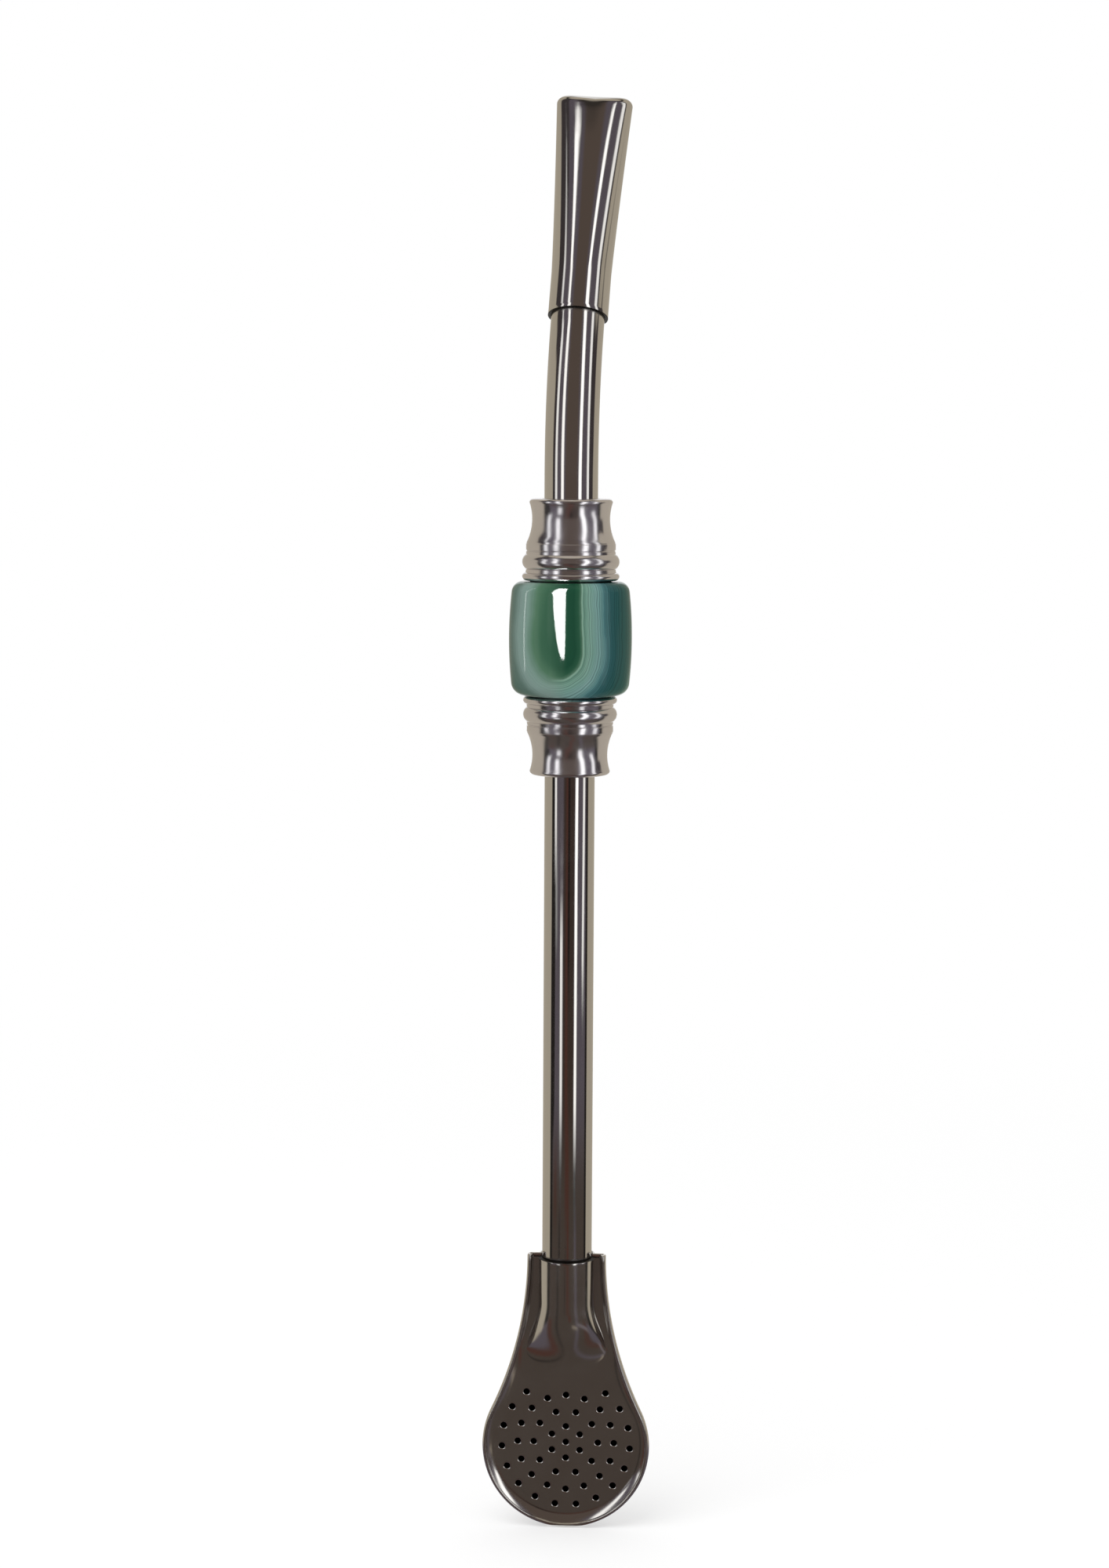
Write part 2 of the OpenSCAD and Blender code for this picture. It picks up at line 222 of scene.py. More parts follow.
hairlines = makeHairlines()
handledFilm = makeHandledFilm()
drawnWaves = makeDrawnWaves()
turnedLines = makeTurnedLines()
seamShade = makeSeamShade()

steelTone = (0.62, 0.60, 0.575, 1.0)  # bare stainless, a little warm
# near-black colour used as painted shade in seams, at the channel's mouth and inside the strainer
paintedShadeTone = (0.020, 0.017, 0.014, 1.0)


def bumpOn(tree, height, distance, under=None):
    inputs = {"Strength": 1.0, "Distance": distance, "Height": height}
    if under is not None:
        inputs["Normal"] = under
    return addNode(tree, "ShaderNodeBump", inputs).outputs["Normal"]


def handled(tree, look):  # roughness of a handled surface
    film = {"Scale": look["filmScale"], "Low": look["filmLow"], "High": look["filmHigh"]}
    return placeGroup(tree, handledFilm, {"Vector": objectPlace(tree), **film})


def scratched(tree, look, under):
    lines = {"Vector": objectPlace(tree), "Scale": look["scratchScale"]}
    return bumpOn(tree, placeGroup(tree, hairlines, lines), look["scratchDepth"], under)


polishedLook = {
    "filmLow": 0.05,
    "filmHigh": 0.10,
    "filmScale": 140.0,
    "scratchDepth": 0.0000004,
    "scratchScale": 900.0,
    "waveDepth": 0.000012,
    "waveScale": 110.0,
    "waveStretch": (1.0, 1.0, 0.25),  # drawn out along the stem
    "shadeRoughness": 0.4,
}


def makePolishedSteel(name, look, paintedShade):  # painted shade: direction, where it starts and where it is full
    material, tree, surface = newMaterial(name)
    setInputs(tree, surface, {"Base Color": steelTone, "Metallic": 1.0})
    place, roughness = objectPlace(tree), handled(tree, look)
    masks = []
    for direction, unshaded, shaded in paintedShade:
        seam = {"Direction": direction, "Unshaded": unshaded * millimetre, "Shaded": shaded * millimetre}
        masks.append(placeGroup(tree, seamShade, {"Vector": place, **seam}))
    # painted shade: darker colour and more roughness where the masks reach
    if masks:
        mask = masks[0] if len(masks) == 1 else calc(tree, "MAXIMUM", *masks)
        mix = {"Factor": mask, "A": steelTone, "B": paintedShadeTone}
        tone = addNode(tree, "ShaderNodeMix", mix, data_type="RGBA").outputs["Result"]
        setInputs(tree, surface, {"Base Color": tone})
        roughness = calc(tree, "MULTIPLY_ADD", mask, look["shadeRoughness"], roughness)
    wave = {"Vector": place, "Scale": look["waveScale"], "Stretch": look["waveStretch"]}
    normal = bumpOn(tree, placeGroup(tree, drawnWaves, wave), look["waveDepth"])
    setInputs(tree, surface, {"Roughness": roughness, "Normal": scratched(tree, look, normal)})
    return material


turnedLook = {
    "tone": (0.70, 0.68, 0.70, 1.0),
    "filmLow": 0.15,
    "filmHigh": 0.22,
    "filmScale": 220.0,
    "lineDepth": 0.0000012,
    "lineScale": 5000.0,
    "scratchDepth": 0.0000004,
    "scratchScale": 1100.0,
}


def makeTurnedSteel(look):
    material, tree, surface = newMaterial("turnedSteel")
    setInputs(tree, surface, {"Base Color": look["tone"], "Metallic": 1.0})
    lines = placeGroup(tree, turnedLines, {"Vector": objectPlace(tree), "Scale": look["lineScale"]})
    normal = scratched(tree, look, bumpOn(tree, lines, look["lineDepth"]))
    setInputs(tree, surface, {"Roughness": handled(tree, look), "Normal": normal})
    return material


sealLook = {
    "tones": [(0.0, (0.012, 0.012, 0.012)), (1.0, (0.03, 0.03, 0.028))],
    "grainScale": 900.0,
    "grainDepth": 0.00001,
    "roughness": 0.55,
}


def makeSealRubber(look):
    material, tree, surface = newMaterial("sealRubber")
    grain = noise(tree, {"Vector": objectPlace(tree), "Scale": look["grainScale"], "Detail": 3.0})
    values = {"Base Color": makeRamp(tree, look["tones"], 1.0, grain), "Roughness": look["roughness"]}
    setInputs(tree, surface, {**values, "Normal": bumpOn(tree, grain, look["grainDepth"])})
    return material


turnedSteel = makeTurnedSteel(turnedLook)
sealRubber = makeSealRubber(sealLook)
print("shared finishes made")

# Filter: front plate and back shell drawn face up with the mouth along y, then stood up to face -Y
spoon = {
    "bowlRadius": 13.5,
    "neckHalf": 6.32,
    "neckRise": 31.6,
    "sheet": 0.5,
    "rimRadius": 0.8,
    "rollRadius": 0.42,  # the roll that shows round the plate
    "rollFoot": 0.62,
    "rollRise": 0.80,
    "earRound": 0.25,
    "earTurns": (28, 56, 84),
    "wallStart": 1.8,
    "wallOffset": 0.45,  # from there to where the inside starts
    "wallSteps": 26,
    "insideFrom": 0.6,  # deeper faces that look forward get painted shade
    "neckDepth": 4.52,
    "bowlDepth": 5.4,
    "domeBlend": 10.0,  # length over which the back's flanks run into the bowl
    "tubeRadius": 4.02,
    "mouthDrop": 0.5,  # the plate ends this far below the tops of the rim
    "mouthEdge": 0.05,
    "channelLength": 20.0,
    "rampStart": 0.44,
    "rampEnd": 0.98,
    "rampLate": 1.25,
    "endDip": 0.01,
    "dipMiddle": 0.7,  # in halves of what is left behind the ramp
    "dipHalf": 1.3,
    "topPower": 0.5,  # half round at the mouth, bell-shaped at the foot
    "footPower": 1.4,
    "channelSteps": 44,
    "channelTurns": 48,
    "channelFlare": 2.0,
    "flareStart": 0.38,
    "flareEnd": 0.84,
    "endStart": 0.78,  # from here the foot closes to a round end
    "endClosing": 0.62,
    "plateInset": 0.72,  # the plate's edge, tucked into the rolled rim
    "plateLift": 0.64,  # how far the plate sweeps up to the rim round the bowl
    "plateSweep": 2.2,
    "sweepPower": 2.4,
    "sweepTop": 34.0,  # none from this height up
    "sweepFade": 12.0,
    "sweepSteps": 7,
    "clearBeside": 0.25,  # room between the sweep's points and the channel
    "clearBelow": 0.3,
    "flankSteps": 24,
    "bowlSteps": 120,
}
strainer = {
    "holeRadius": 0.5,
    "pitch": 2.6,
    "rise": 0.5,
    "rings": [(6, 90.0, 6), (10, 0.0, 10), (16, 0.0, 16), (19, 270 - 7.5 * 360 / 19, 16)],
    "sides": 28,
    "edge": [(0.34, 0.0), (0.22, 0.0), (0.13, 0.02), (0.06, 0.05), (0.02, 0.085), (0.0, 0.13)],
}

neckTop = heights("filter_back")[1]
squares = spoon["neckHalf"] ** 2 + spoon["neckRise"] ** 2 - spoon["bowlRadius"] ** 2
spoon["flankRadius"] = squares / (2 * (spoon["bowlRadius"] - spoon["neckHalf"]))  # touches the bowl's arc
spoon["flankTurn"] = math.asin(spoon["neckRise"] / (spoon["bowlRadius"] + spoon["flankRadius"]))
stations = 2 * spoon["flankSteps"] + spoon["bowlSteps"] + 1


def outlinePoint(i, inset, drop=0.0):  # down the right flank, round the bowl and up the left flank
    flankSteps, bowlSteps = spoon["flankSteps"], spoon["bowlSteps"]
    if flankSteps <= i <= flankSteps + bowlSteps:
        turn = spoon["flankTurn"] - (math.pi + 2 * spoon["flankTurn"]) * (i - flankSteps) / bowlSteps
        reach = spoon["bowlRadius"] - inset
        return reach * math.cos(turn), spoon["bowlRadius"] + reach * math.sin(turn)
    side, k = (1, i) if i < flankSteps else (-1, stations - 1 - i)
    reach = spoon["flankRadius"] + inset
    start = math.asin(drop / reach)
    turn = start + (spoon["flankTurn"] - start) * k / flankSteps
    x = spoon["neckHalf"] + spoon["flankRadius"] - reach * math.cos(turn)
    return side * x, neckTop - reach * math.sin(turn)


def insetToMiddle(i):  # distance from the outline to the middle line of the spoon
    flankSteps, bowlSteps = spoon["flankSteps"], spoon["bowlSteps"]
    if flankSteps <= i <= flankSteps + bowlSteps:
        return spoon["bowlRadius"]
    k = min(i, stations - 1 - i)
    turn = spoon["flankTurn"] * k / flankSteps
    return (spoon["neckHalf"] + spoon["flankRadius"]) / math.cos(turn) - spoon["flankRadius"]


def softMiddles():  # the same distance without the corner where the flanks meet the bowl
    places = [outlinePoint(i, 0.0) for i in range(stations)]
    along = [0.0]
    for a, b in zip(places, places[1:]):
        along.append(along[-1] + math.dist(a, b))
    gaps = [along[min(i + 1, stations - 1)] - along[max(i - 1, 0)] for i in range(stations)]
    middles = [insetToMiddle(i) for i in range(stations)]
    soft = []
    for s in along:
        half = max(0.01, min(spoon["domeBlend"], s, along[-1] - s))
        weights = [gap * ease(1 - abs(t - s) / half) for t, gap in zip(along, gaps)]
        soft.append(sum(w * m for w, m in zip(weights, middles)) / sum(weights))
    return soft


def standUp(p):
    return (p[0], -p[2], p[1])


def rimSection():  # outer and inner points from the lip on the plate, over the crest and under
    s = spoon
    outer = [(x, s["rollFoot"] + z * s["rollRise"]) for x, z in arc(s["rollRadius"], 0, 1, 0, 180, 24)]
    outer = [(s["rollRadius"] + (x - s["rollRadius"]) * s["rollRadius"], z) for x, z in outer]
    roll = s["rimRadius"] - s["sheet"]
    outer += arc(s["rimRadius"], roll, s["rimRadius"], 180, 270, 12)
    start = math.degrees(math.asin((s["sheet"] - roll) / roll))
    inner = arc(s["rimRadius"], roll, roll, start, 270, len(outer) - 1)
    return outer, inner


def addFilterBack():
    sheet, wallSteps = spoon["sheet"], spoon["wallSteps"]
    outerRim, innerRim = rimSection()
    softened = softMiddles()
    grids = []
    for i in range(stations):
        middle = insetToMiddle(i)
        widen = ease((middle - spoon["neckHalf"]) / (spoon["bowlRadius"] - spoon["neckHalf"]))
        deep = spoon["neckDepth"] + (spoon["bowlDepth"] - spoon["neckDepth"]) * widen
        outer, inner = list(outerRim), list(innerRim)
        for k in range(wallSteps + 1):
            turn = math.pi / 2 * k / wallSteps
            lie, sink = 1 - math.cos(turn), math.sin(turn)
            start = spoon["wallStart"]
            reach = softened[i] + (middle - softened[i]) * lie ** 3
            outer.append((start + (reach - start) * lie, -sheet - (deep - sheet) * sink))
            start += spoon["wallOffset"]
            inner.append((start + (reach - start) * lie, -(deep - sheet) * sink))
        grids.append((i, outer, inner, 0.0))
    for end in (0, -1):  # rounded ends of the sheet at the two ears
        grids[end] = (*grids[end][:3], spoon["earRound"])
    _, outer, inner, _ = grids[0]
    middles = [((a + c) / 2, (b + d) / 2) for (a, b), (c, d) in zip(outer, inner)]
    noses = []
    for turn in spoon["earTurns"]:
        slim, low = math.cos(math.radians(turn)), 1 - math.sin(math.radians(turn))
        thin = []
        for skin in (outer, inner):
            thin.append([(m + (a - m) * slim, n + (b - n) * slim) for (a, b), (m, n) in zip(skin, middles)])
        noses.append((*thin, spoon["earRound"] * low))
    grids = [(0, *nose) for nose in noses[::-1]] + grids + [(stations - 1, *nose) for nose in noses]
    rows = len(grids[0][1])
    points, faces = [], []
    for i, outer, inner, lowered in grids:
        for inset, height in outer + inner:
            x, y = outlinePoint(i, inset)
            points.append(standUp((x, y - lowered, height)))
    stride, last = 2 * rows, len(grids) - 1
    for i in range(last):
        for j in range(rows - 1):
            a = i * stride + j
            faces.append((a, a + 1, a + stride + 1, a + stride))
            b = a + rows
            faces.append((b, b + stride, b + stride + 1, b + 1))
        lip = i * stride
        faces.append((lip, lip + stride, lip + stride + rows, lip + rows))
    for end in (0, last):
        for j in range(rows - 1):
            a = end * stride + j
            faces.append((a, a + rows, a + rows + 1, a + 1))
    piece = addPiece(
        "filterBack", points, faces, shellSteel, "lower_section", "filter_back"
    )
    piece.data.materials.append(shadedInsideSteel)
    for face in piece.data.polygons:  # the inside, which shows only through the holes, gets painted shade
        if face.center.y > spoon["insideFrom"] * millimetre and face.normal.y < -0.1:
            face.material_index = 1
    return piece


def channelHeight(part):  # share of the channel's full height at a share of its length
    fall = max(0.0, part - spoon["rampStart"]) / (spoon["rampEnd"] - spoon["rampStart"])
    ramp = 1 - ease(fall ** spoon["rampLate"])
    spare = (1 - spoon["rampEnd"]) / 2
    fromDip = abs(part - spoon["rampEnd"] - spoon["dipMiddle"] * spare)
    return ramp - spoon["endDip"] * ease(1 - fromDip / (spoon["dipHalf"] * spare))


def channelHalf(part, radius):  # half its width there
    spread = (part - spoon["flareStart"]) / (spoon["flareEnd"] - spoon["flareStart"])
    closing = max(0.0, (part - spoon["endStart"]) / (1 - spoon["endStart"]))
    wide = radius + spoon["channelFlare"] * ease(spread)
    return wide * (1 - spoon["endClosing"] * min(1.0, closing) ** 2)


def channelPoint(part, turn, radius):
    share = channelHeight(part)
    u = math.cos(turn)
    power = spoon["footPower"] + (spoon["topPower"] - spoon["footPower"]) * max(0.0, share)
    height = radius * share * max(0.0, 1 - u * u) ** power
    return channelHalf(part, radius) * u, neckTop - spoon["channelLength"] * part, height


def holeCentres():
    centres = [(0.0, spoon["bowlRadius"] + strainer["rise"])]
    for n, (places, first, count) in enumerate(strainer["rings"]):
        for k in range(count):
            turn = math.radians(first + k * 360 / places)
            reach = (n + 1) * strainer["pitch"]
            centres.append((reach * math.cos(turn), centres[0][1] + reach * math.sin(turn)))
    return centres


def sweptLevel(inset, y, level):  # the plate sweeps up to the rim round the bowl, not beside the channel
    fade = ease((spoon["sweepTop"] - y) / spoon["sweepFade"])
    rise = max(0.0, 1 - (inset - spoon["plateInset"]) / spoon["plateSweep"])
    return level + spoon["plateLift"] * fade * rise ** spoon["sweepPower"]


def channelRows(level):  # places along the channel, and how much its mouth is rounded there
    length, steps = spoon["channelLength"], spoon["channelSteps"]
    mouth = spoon["mouthDrop"] / length
    rounding = spoon["mouthEdge"] if level > 0 else 0.0  # only the outside of the mouth is rounded
    rows = [(mouth, rounding), (mouth + 0.3 * rounding / length, 0.3 * rounding)]
    rows.append((mouth + rounding / length + 0.001, 0.0))
    return rows + [(mouth + (1 - mouth) * k / steps, 0.0) for k in range(1, steps + 1)]


def plateSkin(radius, level, holeReach):  # one face of the plate, with the loop round its edge
    turns, sweepSteps, sides = spoon["channelTurns"], spoon["sweepSteps"], strainer["sides"]
    points, faces = [], []

    def add(x, y, z):
        points.append((x, y, z))
        return len(points) - 1

    grid = []
    for part, less in channelRows(level):
        row = [channelPoint(part, math.pi * m / turns, radius - less) for m in range(turns + 1)]
        grid.append([add(x, y, z + level) for x, y, z in row])
    for row, nextRow in zip(grid, grid[1:]):
        for m in range(turns):
            faces.append((row[m], nextRow[m], nextRow[m + 1], row[m + 1]))
    edge = []
    for i in range(stations):
        x, y = outlinePoint(i, spoon["plateInset"], spoon["mouthDrop"])
        edge.append(add(x, y, sweptLevel(spoon["plateInset"], y, level)))
    boundary = edge + [row[-1] for row in grid[:-1]] + grid[-1][::-1] + [row[0] for row in grid[-2::-1]]
    flat = [Vector(points[p][:2]) for p in boundary]
    index = list(boundary)
    loops = [(n, (n + 1) % len(boundary)) for n in range(len(boundary))]
    for centreX, centreY in holeCentres():
        first = len(flat)
        for k in range(sides):
            turn = 2 * math.pi * k / sides
            x, y = centreX + holeReach * math.cos(turn), centreY + holeReach * math.sin(turn)
            flat.append(Vector((x, y)))
            index.append(add(x, y, level))
            loops.append((first + k, first + (k + 1) % sides))
    holes = index[len(boundary):]
    for n in range(1, sweepSteps + 3):
        inset = spoon["plateInset"] + spoon["plateSweep"] * n / sweepSteps
        for i in range(stations):
            x, y = outlinePoint(i, inset, spoon["mouthDrop"])
            half = channelHalf((neckTop - y) / spoon["channelLength"], radius)
            below = y < neckTop - spoon["channelLength"] - spoon["clearBelow"]
            if below or abs(x) > half + spoon["clearBeside"]:
                flat.append(Vector((x, y)))
                index.append(add(x, y, sweptLevel(inset, y, level)))
    spots, _, triangles, origins, _, _ = delaunay_2d_cdt(flat, loops, [], 1, 0.00001)
    centres = [Vector(c) for c in holeCentres()]
    for triangle in triangles:
        middle = sum((spots[v] for v in triangle), Vector((0, 0))) / 3
        if min((middle - c).length for c in centres) > holeReach:
            faces.append(tuple(index[origins[v][0]] for v in triangle))
    return points, faces, edge[::-1] + grid[0], holes


def addFilterFront():
    sheet, sides = spoon["sheet"], strainer["sides"]
    farReach = strainer["holeRadius"] + strainer["edge"][0][0]
    front, faces, frontLoop, frontHoles = plateSkin(spoon["neckDepth"], sheet, farReach)
    back, backFaces, backLoop, backHoles = plateSkin(spoon["tubeRadius"], 0.0, farReach)
    shift = len(front)
    points = front + back
    faces += [tuple(shift + v for v in reversed(face)) for face in backFaces]
    count = len(frontLoop)
    for n in range(count):
        m = (n + 1) % count
        faces.append((frontLoop[n], frontLoop[m], shift + backLoop[m], shift + backLoop[n]))
    steps = [(d, sheet - drop) for d, drop in strainer["edge"][1:]] + [(0.0, 0.0)]
    for h, (centreX, centreY) in enumerate(holeCentres()):
        rings = [[frontHoles[h * sides + k] for k in range(sides)]]
        for d, height in steps:
            reach, first = strainer["holeRadius"] + d, len(points)
            for k in range(sides):
                turn = 2 * math.pi * k / sides
                x, y = centreX + reach * math.cos(turn), centreY + reach * math.sin(turn)
                points.append((x, y, height))
            rings.append(list(range(first, first + sides)))
        rings.append([shift + backHoles[h * sides + k] for k in range(sides)])
        for a, b in zip(rings, rings[1:]):
            for k in range(sides):
                m = (k + 1) % sides
                faces.append((a[k], a[m], b[m], b[k]))
    points = [standUp(p) for p in points]
    return addPiece(
        "filterFront", points, faces, plateSteel, "lower_section", "filter_front"
    )


pressedLook = {
    **polishedLook,
    "filmLow": 0.10,
    "filmHigh": 0.18,
    "waveDepth": 0.000016,
    "waveScale": 150.0,
    "waveStretch": (1.0, 1.0, 1.0),
}
shellLook = {**pressedLook, "filmLow": 0.14, "filmHigh": 0.22}
shellSteel = makePolishedSteel("shellSteel", shellLook, [])
# inside of the shell coloured near black: painted shade, seen through the holes
shadedInsideSteel = makePolishedSteel("shadedInsideSteel", shellLook, [((0, 1, 0), -0.2, 0.3)])
mouthHeight = neckTop - spoon["mouthDrop"]
# Painted shade behind the plate's face, on the hole walls and the back, and a painted shadow line at the
# channel's mouth
plateShade = [((0, 1, 0), -0.44, -0.34), ((0, 0, 1), mouthHeight - 0.12, mouthHeight - 0.02)]
plateSteel = makePolishedSteel("plateSteel", pressedLook, plateShade)
addFilterBack()
addFilterFront()

# Lower tube with its screwed end
lowerTube = {
    "radius": 4.0,
    "wall": 0.6,
    "edge": 0.12,
    "rows": 24,
    "sides": 120,
    "ringAbove": 1.7,  # a fine ring mark just over the filter's mouth
    "ringDepth": 0.004,
    "ringWidth": 0.1,
    "threadPitch": 1.0,
    "threadDepth": 0.32,
    "threadLength": 5.2,
    "threadSharp": 1.25,
    "threadFade": 0.7,
    "threadRows": 72,
    "pointLength": 0.35,  # bevel at the screwed end
    "pointDepth": 0.3,
}


def addLowerTube():
    low, high = heights("lower_tube")
    outer, inner, edge = lowerTube["radius"], lowerTube["radius"] - lowerTube["wall"], lowerTube["edge"]
    threadFoot = high - lowerTube["threadLength"]
    profile = [(inner, low + edge), (inner + edge, low), (outer - edge, low), (outer, low + edge)]
    ring, wide = neckTop + lowerTube["ringAbove"], lowerTube["ringWidth"]
    profile += [(outer, ring - 3 * wide), (outer, ring - wide), (outer - lowerTube["ringDepth"], ring)]
    profile += [(outer, ring + wide), (outer, ring + 3 * wide)]
    start, rows = ring + 3 * wide, lowerTube["rows"]
    profile += [(outer, start + (threadFoot - start) * k / rows) for k in range(1, rows)]
    top, rows = high - lowerTube["pointLength"], lowerTube["threadRows"]
    profile += [(outer, threadFoot + (top - threadFoot) * k / rows) for k in range(rows + 1)]
    profile += [(outer - lowerTube["pointDepth"], high), (inner, high)]

    def threadCut(turn, r, z):  # a right-hand groove that runs out at both ends
        if r < outer - 0.001 or z < threadFoot:
            return 0.0
        phase = ((z - high) / lowerTube["threadPitch"] - turn / (2 * math.pi)) % 1.0
        groove = ease(1 - abs(2 * phase - 1) * lowerTube["threadSharp"])
        return lowerTube["threadDepth"] * groove * ease((z - threadFoot) / lowerTube["threadFade"])

    points, faces = turned(profile, lowerTube["sides"], threadCut)
    return addPiece("lowerTube", points, faces, lowerSteel, "lower_section", "lower_tube")


# painted shadow on the tube where it goes into the filter's neck, darkest at the mouth
lowerShade = [((0, 0, 1), neckTop + 0.1, mouthHeight)]
lowerSteel = makePolishedSteel("lowerTubeSteel", polishedLook, lowerShade)
addLowerTube()

# Ferrules: the same turned shape, one each way up
ferrule = {
    "height": 12.6,
    "bodyRadius": 7.1,
    "bandRadius": 7.7,
    "flange": 1.25,
    "cup": 0.25,  # the flange's skirt over the washer
    "cupRadius": 6.6,
    "ringRadius": 1.5,
    "ringHeight": 2.7,
    "notchRadius": 0.12,
    "notchHeight": 4.45,
    "coveStart": 5.6,
    "waistRadius": 6.17,
    "waistHeight": 9.4,
    "endRadius": 0.6,
    "countersink": 0.35,
    "shoulder": 0.12,  # soft edge where the hollow starts
    "threadBore": 4.05,
    "tubeBore": 4.27,
    "lowerBore": 4.02,
    "sides": 128,
    "sharpAngle": 28,  # steeper edges stay crisp
}


def ferruleProfile(bores, scale):  # from the cup at the stone out, up the outside and back down the bore
    s = {key: value * scale for key, value in ferrule.items()}
    for key in ("cupRadius", "countersink", "shoulder"):  # alike in both
        s[key] = ferrule[key]
    half = s["flange"] / 2
    profile = [(bores[0][0], 0.0), (s["cupRadius"], 0.0), (s["cupRadius"], -s["cup"])]
    profile += arc(s["bandRadius"] - half, half - s["cup"], half, -90, 80, 16)
    ringX = s["bandRadius"] - s["ringRadius"]
    swing = math.degrees(math.acos((s["bodyRadius"] - ringX) / s["ringRadius"]))
    profile += arc(ringX, s["ringHeight"], s["ringRadius"], -swing, swing, 24)
    profile += arc(s["bodyRadius"], s["notchHeight"], s["notchRadius"], 255, 95, 8)
    hollow = s["bodyRadius"] - s["waistRadius"]
    coveRadius = ((s["waistHeight"] - s["coveStart"]) ** 2 + hollow ** 2) / (2 * hollow)
    endHeight = s["height"] - s["endRadius"]
    coveX = s["waistRadius"] + coveRadius
    low = 180 + math.degrees(math.asin((s["waistHeight"] - s["coveStart"]) / coveRadius))
    high = 180 - math.degrees(math.asin((endHeight - s["waistHeight"]) / coveRadius))
    cove = arc(coveX, s["waistHeight"], coveRadius, low, high, 30)
    soft = s["shoulder"]
    profile += arc(s["bodyRadius"] - soft, s["coveStart"] - soft, soft, 0, 60, 4)
    profile += cove[1:]
    profile += arc(cove[-1][0] - s["endRadius"], endHeight, s["endRadius"], 0, 90, 10)[1:]
    topBore = bores[-1][0]
    profile += [(topBore + s["countersink"], s["height"]), (topBore, s["height"] - s["countersink"])]
    for (radius, foot), (below, _) in zip(bores[:0:-1], bores[-2::-1]):
        profile += [(radius, foot), (below, foot)]
    return profile


def addFerrules():
    sharp, sides = ferrule["sharpAngle"], ferrule["sides"]
    low = heights("upper_ferrule")[0] + ferrule["cup"]
    seat = heights("upper_tube")[0] - low
    profile = ferruleProfile([(ferrule["threadBore"], 0.0), (ferrule["tubeBore"], seat)], 1.0)
    points, faces = turned([(r, low + z) for r, z in profile], sides)
    addPiece(
        "upperFerrule", points, faces, turnedSteel, "upper_section", "upper_ferrule", sharp
    )
    bottom, top = heights("lower_ferrule")
    scale = (top - bottom) / (ferrule["height"] + ferrule["cup"])  # the lower one is a little smaller
    profile = ferruleProfile([(ferrule["lowerBore"], 0.0)], scale)
    points, faces = turned([(r, top - scale * ferrule["cup"] - z) for r, z in profile], sides)
    addPiece(
        "lowerFerrule", points, faces, turnedSteel, "lower_section", "lower_ferrule", sharp
    )


addFerrules()

# Stone bead: barrel side with rounded edges, drilled through
stone = {
    "radius": 9.75,
    "sideRadius": 69.0,
    "topEdge": 1.8,
    "bottomEdge": 2.1,
    "bore": 4.3,
    "boreEdge": 0.3,
    "sides": 144,
}
farLayers = [  # round the back, alike from both sides
    (15.6, (0.018, 0.075, 0.060)),
    (17.2, (0.090, 0.190, 0.150)),
    (18.4, (0.026, 0.090, 0.066)),
    (19.6, (0.080, 0.175, 0.135)),
    (21.0, (0.016, 0.072, 0.040)),
]
agateLook = {
    "eyeAzimuth": -6.6,  # degrees round the stem from the filter's face to the middle of the eye
    "eyeHeight": -1.0,  # millimetres from the stone's middle
    "openTop": 0.25,  # the layers close under the eye and stay open over it
    "openRight": 0.05,
    "tightSide": 0.31,  # the layers are closer on the right of the eye
    "warp": 1.0,
    "warpScale": 0.13,
    "depthRange": 24.0,
    "sideStart": -1.5,  # left of the eye the layers are soft, right of it crisp
    "sideEnd": 1.2,
    "threadScale": 4.2,  # fine threads in the layers, none in the eye
    "threadLow": 0.72,
    "threadHigh": 1.28,
    "threadStart": 3.8,
    "threadEnd": 5.2,
    "threadsOnSoft": 0.2,
    "roughness": 0.05,
    "ior": 1.54,
    "specular": 0.08,
    "crisp": [  # distance from the eye in millimetres and the layer's colour
        (0.0, (0.014, 0.064, 0.034)),
        (3.2, (0.011, 0.054, 0.030)),
        (4.2, (0.020, 0.075, 0.042)),
        (4.7, (0.060, 0.130, 0.085)),
        (4.95, (0.190, 0.310, 0.240)),
        (5.2, (0.100, 0.200, 0.150)),
        (6.2, (0.138, 0.250, 0.200)),
        (7.0, (0.125, 0.235, 0.200)),
        (7.8, (0.150, 0.265, 0.245)),
        (8.7, (0.105, 0.210, 0.200)),
        (9.4, (0.055, 0.140, 0.145)),
        (10.6, (0.024, 0.080, 0.083)),
        (12.9, (0.019, 0.068, 0.062)),
        *farLayers,
    ],
    "soft": [
        (0.0, (0.026, 0.083, 0.048)),
        (2.8, (0.038, 0.102, 0.060)),
        (4.4, (0.066, 0.145, 0.088)),
        (6.1, (0.158, 0.242, 0.208)),
        (7.6, (0.160, 0.232, 0.208)),
        (9.2, (0.075, 0.125, 0.105)),
        (12.0, (0.035, 0.085, 0.065)),
        *farLayers,
    ],
}


